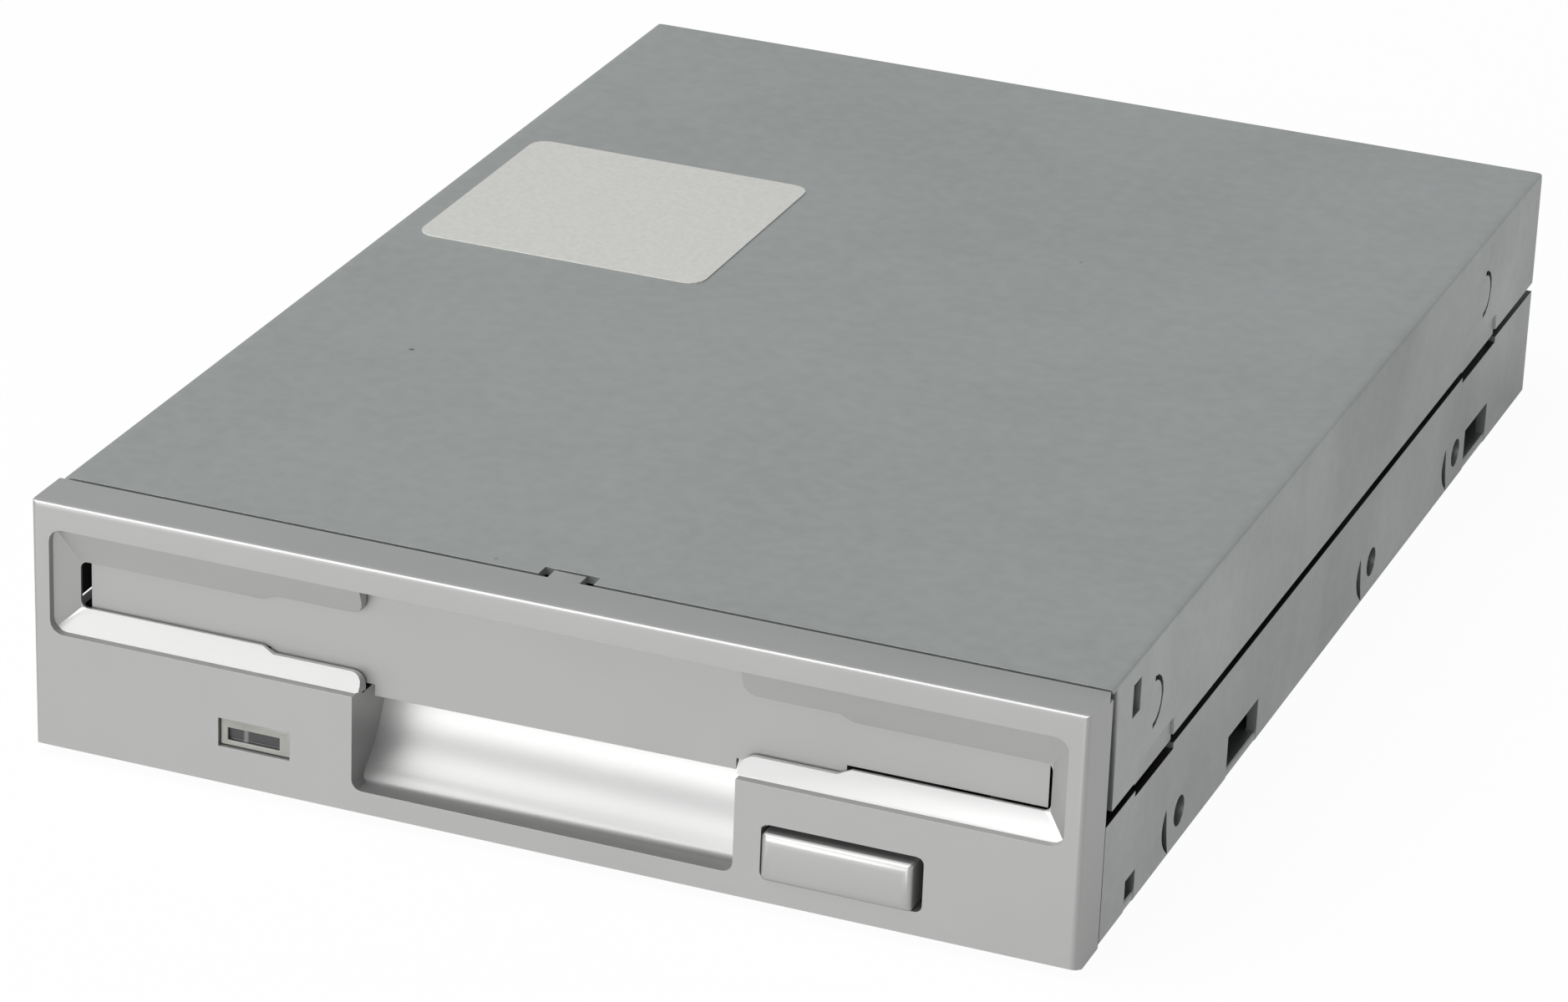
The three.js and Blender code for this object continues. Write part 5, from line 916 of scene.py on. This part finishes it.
make("board_screws", on_points, {"Shape": screw_shape, "Turned": 0.0, "Seed": 0},
     at(0, 0, BOARD_TOP), body_of["main_board"], bright_plate,
     [(x, y, 0) for x in HOLES_X for y in HOLES_Y])
chip_places = [(x, y, PART_LIFT) for field in (LEFT_FIELD, RIGHT_FIELD)
               for x in field[0] for y in field[1]]
for name, shape, material in (("chip_part_bodies", chip_body, chip_epoxy),
                              ("chip_part_ends", chip_ends, tin_solder)):
    make(name, on_points, {"Shape": shape, "Turned": 0.5, "Seed": 7}, at(0, 0, BOARD_TOP),
         body_of["main_board"], material, chip_places)
for shape in repeated:
    bpy.data.objects.remove(shape)

# %% [markdown]
# ## The feet of the side windows
#
# Low in each side the press cuts three windows. The mechanical model cuts them through the bend,
# so they would open the floor too. On the real drive the floor runs on, so each window gets a
# foot: the outline of the bend, as long as the window.

# %% Close the floor under the windows
FOOT = ((47.8, 0.02), (50.3, 0.02), (50.62, 0.17), (50.76, 0.5), (50.76, 1.0), (50.6, 1.1),
        (49.9, 1.1), (49.6, 1.0), (47.8, 1.0))
WINDOWS = ((13.1, 15.8), (42.3, 51.4), (121.5, 129.8))

for name, side in (("window_feet_right", 1), ("window_feet_left", -1)):
    feet = bmesh.new()
    for window in WINDOWS:
        foot = loft(name, [[(side * x, depth - FACE, z) for x, z in FOOT] for depth in window])
        feet.from_mesh(foot.data)
        bpy.data.objects.remove(foot)
    mesh = bpy.data.meshes.new(name)
    feet.to_mesh(mesh)
    feet.free()
    show(name, mesh, body_of["chassis"], chassis_zinc)
    print(name, "has", len(WINDOWS), "feet")

# %% [markdown]
# ## The lead screw
#
# The screw that moves the heads is ground thinner, from a radius of 1.5 to 1.2 mm, and a ridge
# winds round what is left. It moves the heads by 3.75 mm in each turn. A third tree winds it: a
# spiral with a small round section, as a thread mill leaves it.

# %% Wind the ridge
SCREW_X, SCREW_Z, SCREW_CORE, SCREW_THINNER = -20, 8.6, 1.4, 0.8
LEAD, TURNS, RIDGE_START = 3.75, 6.2, 29.6
RIDGE_RADIUS, RIDGE_WIDTH = 1.24, 0.24

ridge, given = new_tree("wound_ridge", {
    "Lead": "Float", "Turns": "Float", "Radius": "Float", "Width": "Float",
    "Material": "Material"})
height = calculate(ridge, "MULTIPLY", (given, "Lead"), (given, "Turns"))
winding = add(ridge, "GeometryNodeCurveSpiral", {"Resolution": 24}, {
    "Rotations": (given, "Turns"), "Start Radius": (given, "Radius"),
    "End Radius": (given, "Radius"), "Height": height})
section = add(ridge, "GeometryNodeCurvePrimitiveCircle", {"Resolution": 6},
              {"Radius": (given, "Width")})
swept = add(ridge, "GeometryNodeCurveToMesh", {"Fill Caps": True},
            {"Curve": (winding, 0), "Profile Curve": (section, 0)})
end_tree(ridge, given, (swept, 0))


def thinner(x, depth, z):
    """Grinds the lead screw, so that its ridge can stand proud."""
    side, height = x - SCREW_X, z - SCREW_Z
    scale = SCREW_THINNER if math.hypot(side, height) > SCREW_CORE else 1
    return SCREW_X + side * scale, depth, SCREW_Z + height * scale


dress("lead_screw", 0.15, 2, [thinner])
make("lead_screw_thread", ridge, {"Lead": LEAD * MM, "Turns": TURNS,
                                  "Radius": RIDGE_RADIUS * MM, "Width": RIDGE_WIDTH * MM},
     at(SCREW_X, RIDGE_START, SCREW_Z) @ Matrix.Rotation(math.pi / 2, 4, "X"),
     body_of["lead_screw"], bright_plate)
